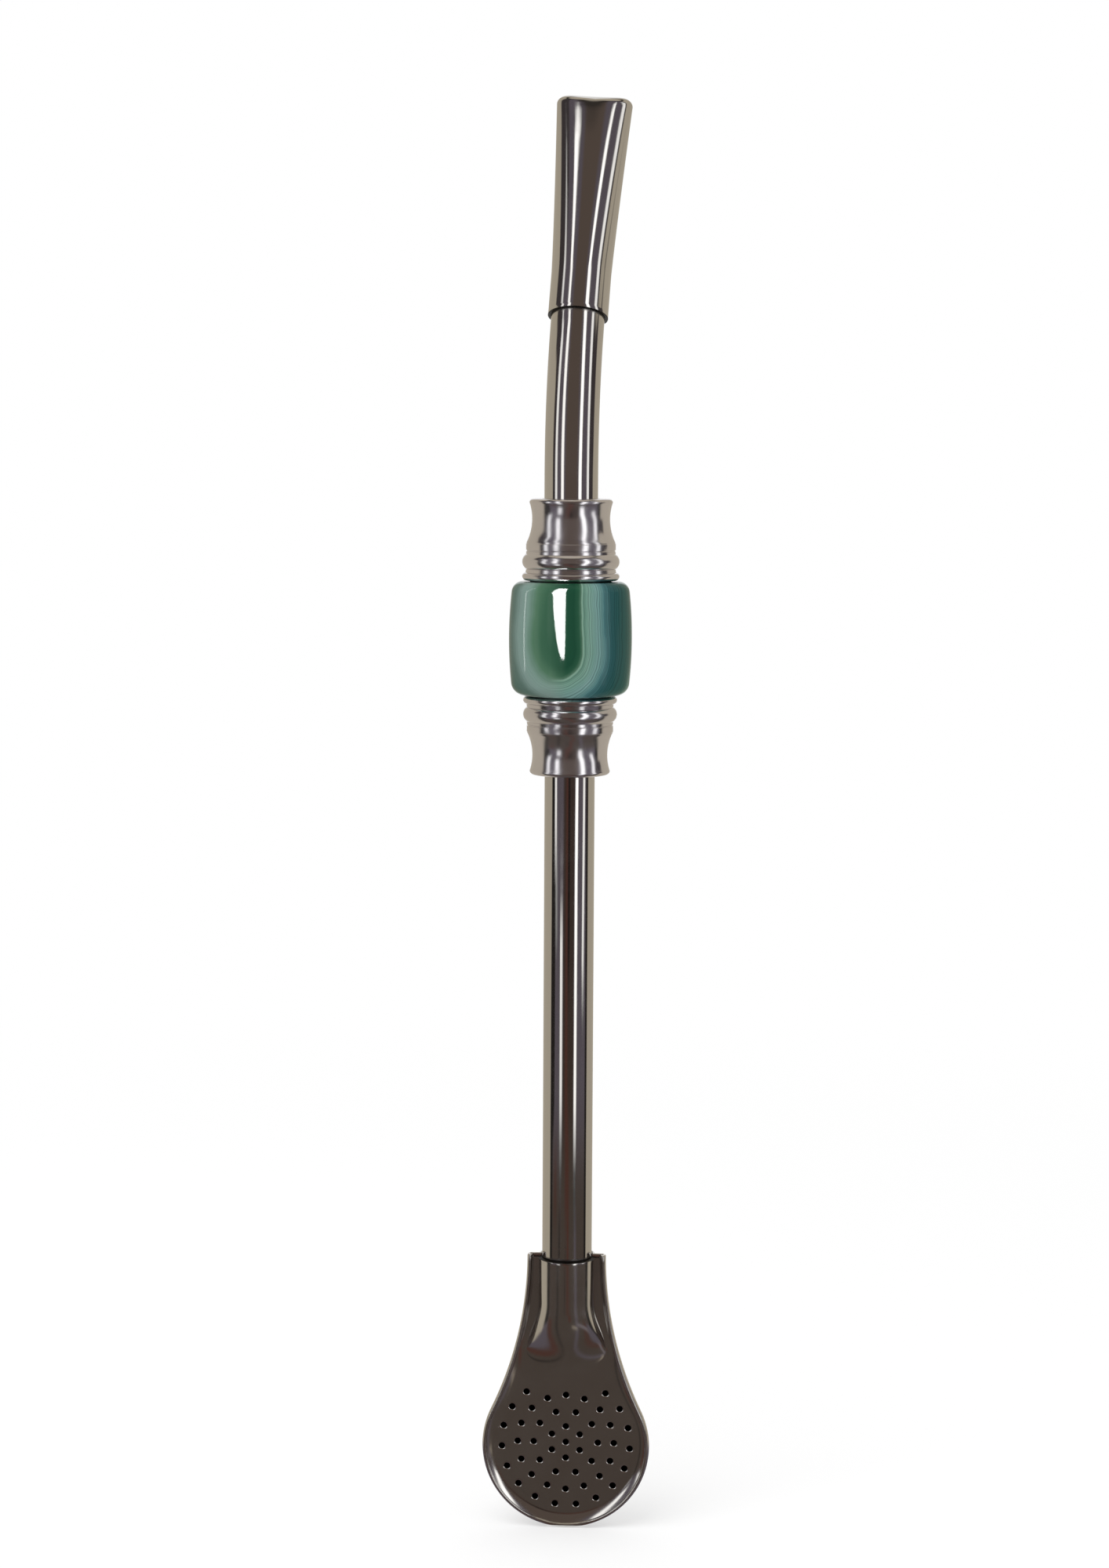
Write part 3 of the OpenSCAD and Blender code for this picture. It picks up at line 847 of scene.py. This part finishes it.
def agateDepth(tree, look, centreHeight):  # distance over the stone from the eye, and how far right of it
    def vector(operation, first, second):
        node = addNode(tree, "ShaderNodeVectorMath", {0: first, 1: second}, operation=operation)
        return node.outputs["Value" if operation == "DOT_PRODUCT" else "Vector"]

    def times(first, second):
        return calc(tree, "MULTIPLY", first, second)

    def plus(first, second):
        return calc(tree, "ADD", first, second)

    spot = vector("SUBTRACT", objectPlace(tree), (0, 0, (centreHeight + look["eyeHeight"]) * millimetre))
    spot = vector("MULTIPLY", spot, (1 / millimetre,) * 3)
    azimuth = math.radians(look["eyeAzimuth"])
    toward = vector("DOT_PRODUCT", spot, (math.sin(azimuth), -math.cos(azimuth), 0))
    aside = vector("DOT_PRODUCT", spot, (math.cos(azimuth), math.sin(azimuth), 0))
    height = vector("DOT_PRODUCT", spot, (0, 0, 1))
    out = calc(tree, "SQRT", plus(times(toward, toward), times(aside, aside)))
    facing = calc(tree, "DIVIDE", toward, out)
    turnedAway = times(calc(tree, "SUBTRACT", 1.0, facing), 2.0)
    chord = times(calc(tree, "SQRT", turnedAway), stone["radius"])
    onRight = calc(tree, "GREATER_THAN", aside, 0.0)
    tight = times(plus(facing, 1.0), times(onRight, look["tightSide"] / 2))
    across = times(chord, plus(tight, 1.0))
    opening = calc(tree, "MULTIPLY_ADD", onRight, look["openRight"] - look["openTop"], look["openTop"])
    above = times(calc(tree, "MAXIMUM", height, 0.0), opening)
    upright = plus(calc(tree, "MINIMUM", height, 0.0), above)
    squares = plus(times(across, across), times(upright, upright))
    warp = {"Vector": spot, "Scale": look["warpScale"], "Detail": 3.0, "Roughness": 0.45}
    sway = times(calc(tree, "SUBTRACT", noise(tree, warp), 0.5), 2 * look["warp"])
    return plus(calc(tree, "SQRT", squares), sway), aside


def makeAgate(look, centreHeight):
    material, tree, surface = newMaterial("bandedAgate")
    depth, aside = agateDepth(tree, look, centreHeight)
    share = calc(tree, "DIVIDE", depth, look["depthRange"])
    side = mapRange(tree, aside, {"From Min": look["sideStart"], "From Max": look["sideEnd"]})
    tones = [makeRamp(tree, look[kind], look["depthRange"], share) for kind in ("soft", "crisp")]
    mix = {"Factor": side, "A": tones[0], "B": tones[1]}
    tone = addNode(tree, "ShaderNodeMix", mix, data_type="RGBA").outputs["Result"]
    grain = {"W": depth, "Scale": look["threadScale"], "Detail": 2.0, "Roughness": 0.6}
    threads = noise(tree, grain, noise_dimensions="1D")
    limits = {"From Min": 0.3, "From Max": 0.7, "To Min": look["threadLow"], "To Max": look["threadHigh"]}
    level = mapRange(tree, threads, limits)
    banded = mapRange(tree, depth, {"From Min": look["threadStart"], "From Max": look["threadEnd"]})
    fewer = look["threadsOnSoft"]
    shown = calc(tree, "MULTIPLY", banded, calc(tree, "MULTIPLY_ADD", side, 1 - fewer, fewer))
    mix = {"Factor": shown, "A": tone, "B": level}
    tone = addNode(tree, "ShaderNodeMix", mix, data_type="RGBA", blend_type="MULTIPLY").outputs["Result"]
    values = {"Base Color": tone, "Roughness": look["roughness"], "IOR": look["ior"]}
    setInputs(tree, surface, {**values, "Specular IOR Level": look["specular"]})
    return material


def addStone():
    low, high = heights("stone_bead")
    half = (high - low) / 2
    centre = stone["radius"] - stone["sideRadius"]

    def edge(radius):  # centre of an edge that runs smoothly into the barrel, and where it meets it
        x = centre + math.sqrt((stone["sideRadius"] - radius) ** 2 - (half - radius) ** 2)
        return x, math.degrees(math.atan2(half - radius, x - centre))

    bottomX, bottomTurn = edge(stone["bottomEdge"])
    topX, topTurn = edge(stone["topEdge"])
    profile = arc(bottomX, low + stone["bottomEdge"], stone["bottomEdge"], -90, -bottomTurn, 18)
    profile += arc(centre, low + half, stone["sideRadius"], -bottomTurn, topTurn, 40)[1:-1]
    profile += arc(topX, high - stone["topEdge"], stone["topEdge"], topTurn, 90, 18)
    profile += [(stone["bore"] + stone["boreEdge"], high), (stone["bore"], high - stone["boreEdge"])]
    profile += [(stone["bore"], low + stone["boreEdge"]), (stone["bore"] + stone["boreEdge"], low)]
    points, faces = turned(profile, stone["sides"])
    agate = makeAgate(agateLook, low + half)
    return addPiece("stoneBead", points, faces, agate, "lower_section", "stone_bead")


stonePiece = addStone()

# Cushion washer under the stone and seal ring over it
washer = {"outer": 6.5, "inner": 4.3, "edge": 0.14, "sides": 96}


def addWasher(name, body, node):
    low, high = heights(node)
    edge = washer["edge"]
    profile = [(washer["inner"], low), (washer["outer"] - edge, low)]
    profile += arc(washer["outer"] - edge, low + edge, edge, -90, 0, 4)[1:]
    profile += arc(washer["outer"] - edge, high - edge, edge, 0, 90, 4)
    profile.append((washer["inner"], high))
    points, faces = turned(profile, washer["sides"])
    return addPiece(name, points, faces, sealRubber, body, node)


addWasher("lowerWasher", "lower_section", "lower_washer")
addWasher("sealRing", "seal", "seal_ring")

# Upper stem: the bent tube and the mouthpiece slipped over it
bend = {"radius": 73.0, "angle": 20.0, "straight": 3.5, "turn": 8.0}  # turn: where the screw stops
upperTube = {"radius": 4.25, "wall": 0.6, "sleeve": 6.98, "edge": 0.1, "rows": 72, "sides": 120}
bendFoot = heights("upper_ferrule")[1] + bend["straight"]
bendLength = bend["radius"] * math.radians(bend["angle"])


def onStem(along, x, y):  # a point beside the stem's axis, measured along it from the foot of the bend
    turn = min(max(along, 0.0), bendLength) / bend["radius"]
    spare = along - turn * bend["radius"]
    centreY = bend["radius"] * (1 - math.cos(turn)) + spare * math.sin(turn)
    centreZ = bendFoot + bend["radius"] * math.sin(turn) + spare * math.cos(turn)
    outY, outZ = centreY + y * math.cos(turn), centreZ - y * math.sin(turn)
    stop = math.radians(bend["turn"])
    outX = x * math.cos(stop) + outY * math.sin(stop)
    return outX, outY * math.cos(stop) - x * math.sin(stop), outZ


def addUpperTube():
    start, end = heights("upper_tube")[0] - bendFoot, bendLength + upperTube["sleeve"]
    outer, edge, rows = upperTube["radius"], upperTube["edge"], upperTube["rows"]
    inner = outer - upperTube["wall"]
    stops = [start + edge] + [start + (end - start) * k / rows for k in range(1, rows)] + [end - edge]
    path = [(start, inner + edge), (start, outer - edge)] + [(s, outer) for s in stops]
    path += [(end, outer - edge), (end, inner + edge)] + [(s, inner) for s in stops[::-1]]
    turns = [2 * math.pi * k / upperTube["sides"] for k in range(upperTube["sides"])]
    rings = [[onStem(s, r * math.cos(t), r * math.sin(t)) for t in turns] for s, r in path]
    points, faces = closedSkin(rings)
    return addPiece("upperTube", points, faces, upperSteel, "upper_section", "upper_tube")


seamAlong = (Vector(onStem(bendLength + 1, 0, 0)) - Vector(onStem(bendLength, 0, 0))).normalized()
seamPlace = seamAlong.dot(Vector(onStem(bendLength, 0, 0)))
# painted shadow on the tube just under the mouthpiece's foot, darkest at the seam
tubeShade = [(seamAlong, seamPlace - 0.7, seamPlace + 0.4)]
upperSteel = makePolishedSteel("upperTubeSteel", polishedLook, tubeShade)
addUpperTube()

mouthpiece = {
    "length": 37.5,
    "sleeve": 7.0,
    "sleeveRadius": 4.77,
    "sheet": 0.5,
    "flare": 1.4,
    "flarePower": 1.2,
    "lip": 1.4,
    "lipThinning": 0.1,  # the lips are pressed a little flatter than the body
    "thinLength": 9.0,
    "lipDip": 0.8,  # and their edge is hollowed in the middle
    "dipLength": 3.5,
    "lipCorner": 0.35,  # more rounding at the two corners
    "cornerStart": 3.0,
    "cornerLength": 1.5,
    "mouthFall": 0.12,  # the edge turned in at the mouth
    "mouthWiden": 0.25,
    "innerStops": (26.0, 20.0, 14.0, 9.5, 7.6),
    "stopStep": 0.18,  # the step inside that stops the tube
    "play": 0.02,
    "footEdge": 0.04,
    "rows": 60,
    "lipRows": 14,
    "sides": 160,
}


def mouthRing(z, inset):
    m = mouthpiece
    part = min(1.0, max(0.0, (z - m["sleeve"]) / (m["length"] - m["sleeve"])))
    half = m["sleeveRadius"] + m["flare"] * part ** m["flarePower"]
    fromEnd = z - m["length"]
    thick = 2 * m["sleeveRadius"] - half - m["lipThinning"] * ease(1 + fromEnd / m["thinLength"])
    dip = m["lipDip"] * ease(1 + fromEnd / m["dipLength"])
    corner = m["lipCorner"] * ease((fromEnd + m["cornerStart"]) / m["cornerLength"])
    square = math.radians(bend["turn"])  # the flat of the lips keeps to the filter's face
    ring = []
    for k in range(m["sides"]):
        turn = 2 * math.pi * (k + 0.5) / m["sides"]
        x = (half - inset * (1 + corner * math.cos(turn) ** 2)) * math.cos(turn)
        y = (thick - inset) * math.sin(turn)
        low = z - dip * math.sin(turn) ** 2
        flatX = x * math.cos(square) - y * math.sin(square)
        flatY = x * math.sin(square) + y * math.cos(square)
        ring.append(onStem(bendLength + low, flatX, flatY))
    return ring


def addMouthpiece():
    m = mouthpiece
    foot, lip, length, sheet, sleeve = m["footEdge"], m["lip"], m["length"], m["sheet"], m["sleeve"]
    rows, lipRows = m["rows"], m["lipRows"]
    rings = [mouthRing(foot - foot * math.cos(t), foot - foot * math.sin(t)) for t in (0.0, 0.5, 1.0)]
    rings += [mouthRing(foot + (length - lip - foot) * k / rows, 0.0) for k in range(rows + 1)]
    for k in range(1, lipRows + 1):
        turn = math.pi / 2 * k / lipRows
        rings.append(mouthRing(length - lip + lip * math.sin(turn), lip * (1 - math.cos(turn))))
    narrow = lip + sheet / 4
    rings.append(mouthRing(length - m["mouthFall"], narrow))
    rings.append(mouthRing(length - lip, narrow - m["mouthWiden"]))
    rings += [mouthRing(z, sheet) for z in (length - 2.6 * lip, *m["innerStops"])]
    rings += [mouthRing(sleeve + 0.05, sheet + m["stopStep"]), mouthRing(sleeve, sheet + m["play"])]
    rings += [mouthRing(z, sheet - m["play"]) for z in (sleeve - 0.1, 3.0, 0.0)]
    points, faces = closedSkin(rings)
    return addPiece(
        "mouthpiece", points, faces, mouthSteel, "upper_section", "mouthpiece"
    )


# painted shade on the mouthpiece's foot edge and underside
mouthShade = [(seamAlong, seamPlace + 0.06, seamPlace + 0.02)]
mouthSteel = makePolishedSteel("mouthpieceSteel", polishedLook, mouthShade)
addMouthpiece()

# Camera where the photograph was taken from
cameraPlace = {
    "azimuth": 4.0,
    "elevation": 6.0,
    "distance": 0.548,
    "aimHeight": 0.1211,
    "aimRight": -0.0024,  # the straw stands a little right of the picture's middle
    "lens": 79.2,
    "sensor": 36.0,
    "clipStart": 0.01,
    "roll": 0.3,
}


def addCamera():
    azimuth, elevation = math.radians(cameraPlace["azimuth"]), math.radians(cameraPlace["elevation"])
    level = math.cos(elevation)
    back = Vector((math.sin(azimuth) * level, -math.cos(azimuth) * level, math.sin(elevation)))
    right = Vector((math.cos(azimuth), math.sin(azimuth), 0))
    aim = Vector((0, 0, cameraPlace["aimHeight"])) + right * cameraPlace["aimRight"]
    camera = bpy.data.objects.new("camera", bpy.data.cameras.new("camera"))
    camera.data.lens = cameraPlace["lens"]
    camera.data.sensor_width = cameraPlace["sensor"]
    camera.data.clip_start = cameraPlace["clipStart"]
    camera.location = aim + back * cameraPlace["distance"]
    camera.rotation_mode = "QUATERNION"
    roll = Quaternion((0, 0, 1), math.radians(cameraPlace["roll"]))
    camera.rotation_quaternion = (-back).to_track_quat("-Z", "Y") @ roll
    scene.collection.objects.link(camera)
    scene.camera = camera
    print("camera placed")


addCamera()

# Stage: pale floor, white surround and studio cards that only the metal and the stone see
floorLook = {
    "reach": 6.0,
    "tone": 0.93,
    "roughness": 0.8,
    "fadeStart": 0.06,
    "fadeEnd": 0.5,
    "leastGlow": 0.45,
}


def addSheet(name, points, faces, material):
    mesh = bpy.data.meshes.new(name)
    mesh.from_pydata(points, [], faces)
    mesh.materials.append(material)
    sheet = bpy.data.objects.new(name, mesh)
    scene.collection.objects.link(sheet)
    return sheet


def showSurface(tree, shader):
    setInputs(tree, tree.nodes["Material Output"], {"Surface": shader.outputs[0]})


def addFloor():
    material, tree, surface = newMaterial("paleFloor")
    values = {"Base Color": (floorLook["tone"],) * 3 + (1,), "Roughness": floorLook["roughness"]}
    setInputs(tree, surface, {**values, "Specular IOR Level": 0.0})
    glow = addNode(tree, "ShaderNodeEmission", {"Color": (1, 1, 1, 1), "Strength": 1.0})
    place = addNode(tree, "ShaderNodeNewGeometry").outputs["Position"]
    far = addNode(tree, "ShaderNodeVectorMath", {0: place}, operation="LENGTH").outputs["Value"]
    limits = {"From Min": floorLook["fadeStart"], "From Max": floorLook["fadeEnd"]}
    limits["To Min"] = floorLook["leastGlow"]
    fade = mapRange(tree, far, limits, interpolation_type="SMOOTHSTEP")
    both = {0: fade, 1: surface.outputs[0], 2: glow.outputs[0]}
    showSurface(tree, addNode(tree, "ShaderNodeMixShader", both))
    reach = floorLook["reach"]
    corners = [(-reach, -reach, 0), (reach, -reach, 0), (reach, reach, 0), (-reach, reach, 0)]
    addSheet("floor", corners, [(0, 1, 2, 3)], material)


worldLook = {"seen": 1.0, "lighting": 0.86}  # strength of the white as it is seen, and as it lights


def addWorld():
    world = bpy.data.worlds.new("whiteSurround")
    scene.world = world
    world.use_nodes = True
    tree = world.node_tree
    ray = addNode(tree, "ShaderNodeLightPath").outputs
    seen = calc(tree, "MAXIMUM", ray["Is Camera Ray"], ray["Is Glossy Ray"])
    seen = calc(tree, "MAXIMUM", seen, ray["Is Transmission Ray"])
    strength = mapRange(tree, seen, {"To Min": worldLook["lighting"], "To Max": worldLook["seen"]})
    setInputs(tree, tree.nodes["Background"], {"Color": (1, 1, 1, 1), "Strength": strength})


studio = {  # what the metal sees, in degrees round from the camera
    "radius": 0.9,
    "top": 2.6,
    "floorGap": 0.0004,
    "openFrom": 165,  # behind this angle the surround is open
    "wallFoot": 0.15,  # the floor's tones run this far up the wall
    # Where a tone starts and is full, or begins to fade and is gone, in degrees to a side or metres
    "betweenFrom": (20, 32),
    "nearFloorTo": (0.2, 0.4),
    "overheadFrom": (1.32, 1.52),
    "ceilingFrom": (1.6, 1.9),
    "centreFrom": (0.45, 0.65),
    "centrePlace": (-1, 8),  # angle and half width
    "redShare": 0.85,
    "redFrom": (0.11, 0.14),
    "redShape": [(-9, -2, 3), (13, 20, 9)],  # middle and half width: far off, closer and near
    "closerTo": (0.25, 0.4),
    "nearTo": (0.19, 0.24),
    "redLeft": (-58, 18),  # another on the left
    "redLeftShare": 0.7,
    "redLeftTo": (0.27, 0.33),
    # Dark gap beside the pale side walls: where each starts, and how that shifts further out or up
    "left": {
        "dark": 71,
        "darkShift": -9,
        "pale": 83.5,
        "paleShifts": [(20, (0.42, 0.57))],
    },
    "right": {
        "dark": 80,
        "darkShift": 0,
        "pale": 92,
        "paleShifts": [(12, (0.1, 0.16)), (-19, (0.40, 0.48))],
    },
    "darkShiftFrom": (0.3, 0.35),
    "gapFrom": (0.07, 0.11),
    "gapFade": 5,
    "paleFrom": (0.045, 0.075),
    "paleLeast": 0.1,
    "paleFade": 6,
    "stripSharp": 1.6,
    "front": (0.115, 0.088, 0.074),
    "frontFloor": (0.055, 0.038, 0.031),
    "nearFloor": (0.080, 0.063, 0.053),
    "warm": (0.095, 0.040, 0.030),  # reddish shape in front, low down
    "between": (0.125, 0.108, 0.130),
    "dark": (0.056, 0.047, 0.050),
    "darkFloor": (0.020, 0.017, 0.016),
    "pale": (0.50, 0.45, 0.365),
    "overhead": (0.042, 0.036, 0.032),
    "ceiling": (0.56, 0.50, 0.41),
    "floorBeige": (0.52, 0.45, 0.36),
    "floorGrey": (0.20, 0.175, 0.19),
    "centreLine": (0.010, 0.008, 0.008),
    # What the filter shows of the floor close by: tone, share, and the angles and reaches where it
    # starts, is full, begins to fade and is gone
    "patches": [
        ("warm", 0.80, (-78, -63, -63, -48), (0, 0, 0.10, 0.14)),
        ("warm", 0.64, (51, 64, 64, 77), (0, 0, 0.10, 0.14)),
        ("warm", 0.90, (2, 11, 11, 20), (0.06, 0.08, 0.12, 0.16)),
        ("between", 0.80, (25, 36, 36, 47), (0, 0, 0.22, 0.22)),
        ("darkFloor", 0.60, (-47, -37, -37, -27), (0, 0, 0.22, 0.22)),
        ("darkFloor", 0.70, (-13, -8, -8, -3), (0.115, 0.165, 0.165, 0.215)),
        ("floorGrey", 1.00, (28, 44, 165, 165), (0.045, 0.065, 0.065, 0.085)),
        ("between", 1.00, (66, 76, 165, 165), (0, 0, 0.09, 0.13)),
        ("between", 1.00, (-165, -165, -76, -66), (0, 0, 0.09, 0.13)),
        ("floorBeige", 0.60, (14, 22, 30, 44), (0.0335, 0.0455, 0.0455, 0.0575)),
    ],
    "strips": [  # way over the floor (below 0) and up the wall, middle, half width, level
        [
            (-0.70, -33.5, 8.5, 0.0), (-0.64, -33.5, 8.5, 0.09), (-0.61, -33.5, 8.5, 0.10),
            (-0.54, -33.5, 8.5, 1.25), (-0.24, -34.5, 8.5, 1.25), (-0.15, -35.0, 8.5, 0.08),
            (0.05, -37.0, 8.5, 0.08), (0.13, -38.4, 8.5, 1.6), (0.85, -39.5, 8.5, 1.6),
            (0.95, -46.0, 8.5, 1.7), (1.06, -50.0, 8.0, 1.8), (1.13, -50.5, 8.0, 1.8),
            (1.24, -44.5, 8.0, 1.6), (1.34, -40.0, 8.0, 0.0),
        ],
        [
            (-0.71, 32.0, 8.5, 0.0), (-0.66, 32.0, 8.5, 0.085), (-0.63, 32.0, 8.5, 0.09),
            (-0.55, 32.0, 8.5, 1.6), (-0.02, 32.5, 9.0, 1.8), (0.12, 37.0, 9.0, 1.9),
            (0.45, 40.5, 9.0, 1.9), (0.78, 40.0, 9.0, 1.9), (0.87, 37.5, 8.5, 1.9),
            (0.95, 41.5, 8.5, 1.9), (1.01, 43.0, 8.5, 1.8), (1.06, 46.0, 8.5, 1.6),
            (1.14, 48.0, 8.5, 0.0),
        ],
        [
            (-0.32, -58.5, 7.5, 0.0), (-0.24, -58.5, 7.5, 0.35), (-0.06, -60.0, 7.5, 0.4),
            (0.0, -64.5, 7.5, 1.25), (0.15, -68.0, 7.5, 1.25), (0.68, -68.0, 7.5, 1.25),
            (0.75, -77.5, 7.5, 1.25), (0.80, -79.5, 7.5, 1.0), (0.84, -80.0, 7.5, 0.0),
        ],
        [
            (-0.42, 70.0, 8.0, 0.0), (-0.30, 67.5, 8.0, 1.2), (0.0, 69.5, 8.0, 1.3),
            (0.15, 75.0, 8.0, 1.3), (0.60, 76.0, 8.0, 1.3), (0.67, 77.5, 8.0, 1.3),
            (0.80, 76.0, 8.0, 1.1), (0.98, 70.0, 8.0, 0.8), (1.10, 66.0, 8.0, 0.0),
        ],
    ],
}


def blend(a, b, t):
    return tuple(p + (q - p) * ease(t) for p, q in zip(a, b))


def alongPath(path, way):  # middle, half width and level of a strip at one place
    if way <= path[0][0]:
        return path[0][1:]
    for before, after in zip(path, path[1:]):
        if way <= after[0]:
            t = (way - before[0]) / (after[0] - before[0])
            return tuple(p + (q - p) * t for p, q in zip(before[1:], after[1:]))
    return path[-1][1:]


def progress(value, stops):  # 0 at the first stop and 1 at the second
    return (value - stops[0]) / (stops[1] - stops[0])


def step(value, stops):  # the same, eased and level outside
    return ease(progress(value, stops))


def hump(value, middle, half):  # soft hump between 0 and 1
    return ease(1 - abs(value - middle) / half)


def window(value, stops):  # 1 between the two middle stops, easing to 0 at the outer ones
    start, full, fading, gone = stops
    rising = step(value, (start, full)) if full > start else float(value >= start)
    falling = 1 - step(value, (fading, gone)) if gone > fading else float(value <= gone)
    return rising * falling


def studioTone(angle, reach, height):
    s, wide = studio, abs(angle)
    way = reach - s["radius"] + height - s["floorGap"]
    low = 1 - ease(height / s["wallFoot"])
    tone = blend(s["front"], s["frontFloor"], low)
    tone = blend(tone, s["between"], progress(wide, s["betweenFrom"]))
    tone = blend(tone, s["nearFloor"], 1 - step(reach, s["nearFloorTo"]))
    closer, near = 1 - step(reach, s["closerTo"]), 1 - step(reach, s["nearTo"])
    red = hump(angle, *[a + (b - a) * closer + (c - b) * near for a, b, c in s["redShape"]])
    redLeft = hump(angle, *s["redLeft"]) * (1 - step(reach, s["redLeftTo"])) * (1 - near)
    red = max(red, s["redLeftShare"] * redLeft)
    tone = blend(tone, s["warm"], s["redShare"] * low * step(reach, s["redFrom"]) * red)
    centre, half = s["centrePlace"]
    line = low * step(reach, s["centreFrom"]) * (1 - abs(angle - centre) / half)
    tone = blend(tone, s["centreLine"], line)
    for name, part, angles, reaches in s["patches"]:
        tone = blend(tone, s[name], part * window(angle, angles) * window(reach, reaches))
    side = s["left"] if angle < 0 else s["right"]
    darkFrom = side["dark"] + side["darkShift"] * low * step(reach, s["darkShiftFrom"])
    gap = min(1.0, (wide - darkFrom) / s["gapFade"]) * step(reach, s["gapFrom"])
    tone = blend(tone, blend(s["dark"], s["darkFloor"], low), gap)
    paleFrom = side["pale"] + sum(shift * step(height, stops) for shift, stops in side["paleShifts"])
    far = s["paleLeast"] + (1 - s["paleLeast"]) * step(reach, s["paleFrom"])
    tone = blend(tone, s["pale"], ease((wide - paleFrom) / s["paleFade"]) * far)
    tone = blend(tone, s["overhead"], progress(height, s["overheadFrom"]))
    tone = blend(tone, s["ceiling"], progress(height, s["ceilingFrom"]))
    for path in s["strips"]:
        middle, half, level = alongPath(path, way)
        glow = level * ease(s["stripSharp"] * (1 - abs(angle - middle) / half))
        tone = tuple(max(c, glow) for c in tone)
    return tone


def glowing(name, inputs):  # a material that only gives light
    material, tree, surface = newMaterial(name)
    tree.nodes.remove(surface)
    showSurface(tree, addNode(tree, "ShaderNodeEmission", inputs))
    return material


def reflectionOnly(card):
    card.visible_camera = False
    card.visible_diffuse = False
    card.visible_shadow = False


def addSurround():  # floor ring and wall in one sheet, open at the back where the white ground shows
    ring, top, lift = studio["radius"], studio["top"], studio["floorGap"]
    reaches = [0.001, 0.015, 0.03, 0.034, 0.038, 0.042, 0.046, 0.05, 0.054, 0.06, 0.07, 0.08, 0.1, 0.12]
    reaches += [0.14, 0.16, 0.18, 0.2, 0.24, 0.27, 0.30, 0.33, 0.36, 0.4]
    reaches += [0.45, 0.5, 0.55, 0.6, 0.65, 0.7, 0.75, 0.8, 0.84, 0.87, ring]
    rows = [(r, lift) for r in reaches]
    rows += [(ring, z) for z in (0.02, 0.05, 0.08, 0.11, 0.14, 0.2, 0.3)]
    rows += [(ring, 0.4 + 0.05 * k) for k in range(20)]
    rows += [(ring, z) for z in (1.4, 1.5, 1.6, 1.7, 1.8, 1.9, top)]
    rows += [(r, top) for r in (0.6, 0.3, 0.001)]
    columns = range(-studio["openFrom"], studio["openFrom"] + 1)
    points, faces, tones = [], [], []
    for angle in columns:
        turn = math.radians(cameraPlace["azimuth"] + angle)
        for r, z in rows:
            points.append((r * math.sin(turn), -r * math.cos(turn), z))
            tones.append(studioTone(angle, r, z))
    count = len(rows)
    for k in range(len(columns) - 1):
        for j in range(count - 1):
            a = k * count + j
            faces.append((a, a + 1, a + count + 1, a + count))
    material = glowing("surroundGlow", {"Strength": 1.0})
    tree = material.node_tree
    tint = addNode(tree, "ShaderNodeAttribute", attribute_name="glow").outputs["Color"]
    setInputs(tree, tree.nodes["Emission"], {"Color": tint})
    card = addSheet("surround", points, faces, material)
    shade = card.data.color_attributes.new("glow", "FLOAT_COLOR", "POINT")
    for spot, tone in zip(shade.data, tones):
        spot.color = (*tone, 1)
    reflectionOnly(card)


stoneLight = {  # tall window, and the edge of another, that only the stone shows
    "reach": 0.85,
    "window": [  # height, and the two sides in degrees round from the camera
        (0.020, -17.0, -11.0),
        (0.05, -21.5, -10.4),
        (0.10, -26.0, -10.0),
        (0.20, -32.0, -9.6),
        (0.40, -38.0, -9.6),
        (2.2, -41.0, -10.0),
    ],
    "windowStrength": 135.0,
    "line": [(0.0, -98.4, -95.2), (1.0, -98.4, -95.2)],
    "lineStrength": 15.0,
}


def clearGlow(name, strength):  # white light that the pieces it isn't meant for see through
    material = glowing(name, {"Color": (1, 1, 1, 1), "Strength": strength})
    tree = material.node_tree
    clear = addNode(tree, "ShaderNodeBsdfTransparent")
    both = {0: tree.nodes["Emission"].outputs[0], 1: clear.outputs[0]}
    showSurface(tree, addNode(tree, "ShaderNodeAddShader", both))
    return material


def addStoneLight(name, outline, strength, receivers):
    reach = stoneLight["reach"]
    points, faces = [], []
    for height, left, right in outline:
        for side in (left, right):
            turn = math.radians(cameraPlace["azimuth"] + side)
            points.append((reach * math.sin(turn), -reach * math.cos(turn), height))
    for k in range(len(outline) - 1):
        faces.append((2 * k, 2 * k + 1, 2 * k + 3, 2 * k + 2))
    card = addSheet(name, points, faces, clearGlow(name + "Glow", strength))
    reflectionOnly(card)
    card.light_linking.receiver_collection = receivers


def addStoneLights():
    onlyStone = bpy.data.collections.new("onlyStone")
    onlyStone.objects.link(stonePiece)
    addStoneLight("stoneWindow", stoneLight["window"], stoneLight["windowStrength"], onlyStone)
    addStoneLight("stoneLine", stoneLight["line"], stoneLight["lineStrength"], onlyStone)


softTop = {"place": (-0.35, -0.6, 1.1), "aim": (0, 0, 0.1), "width": 0.9, "power": 6.5}


def addLamp(name, settings):  # not seen in the metal
    lamp = bpy.data.lights.new(name, "AREA")
    lamp.size = settings["width"]
    lamp.energy = settings["power"]
    holder = bpy.data.objects.new(name, lamp)
    holder.location = settings["place"]
    holder.rotation_mode = "QUATERNION"
    beam = Vector(settings["aim"]) - Vector(settings["place"])
    holder.rotation_quaternion = beam.to_track_quat("-Z", "Y")
    holder.visible_glossy = False
    scene.collection.objects.link(holder)


addFloor()
addWorld()
addSurround()
addStoneLights()
addLamp("softTop", softTop)
print("stage set")
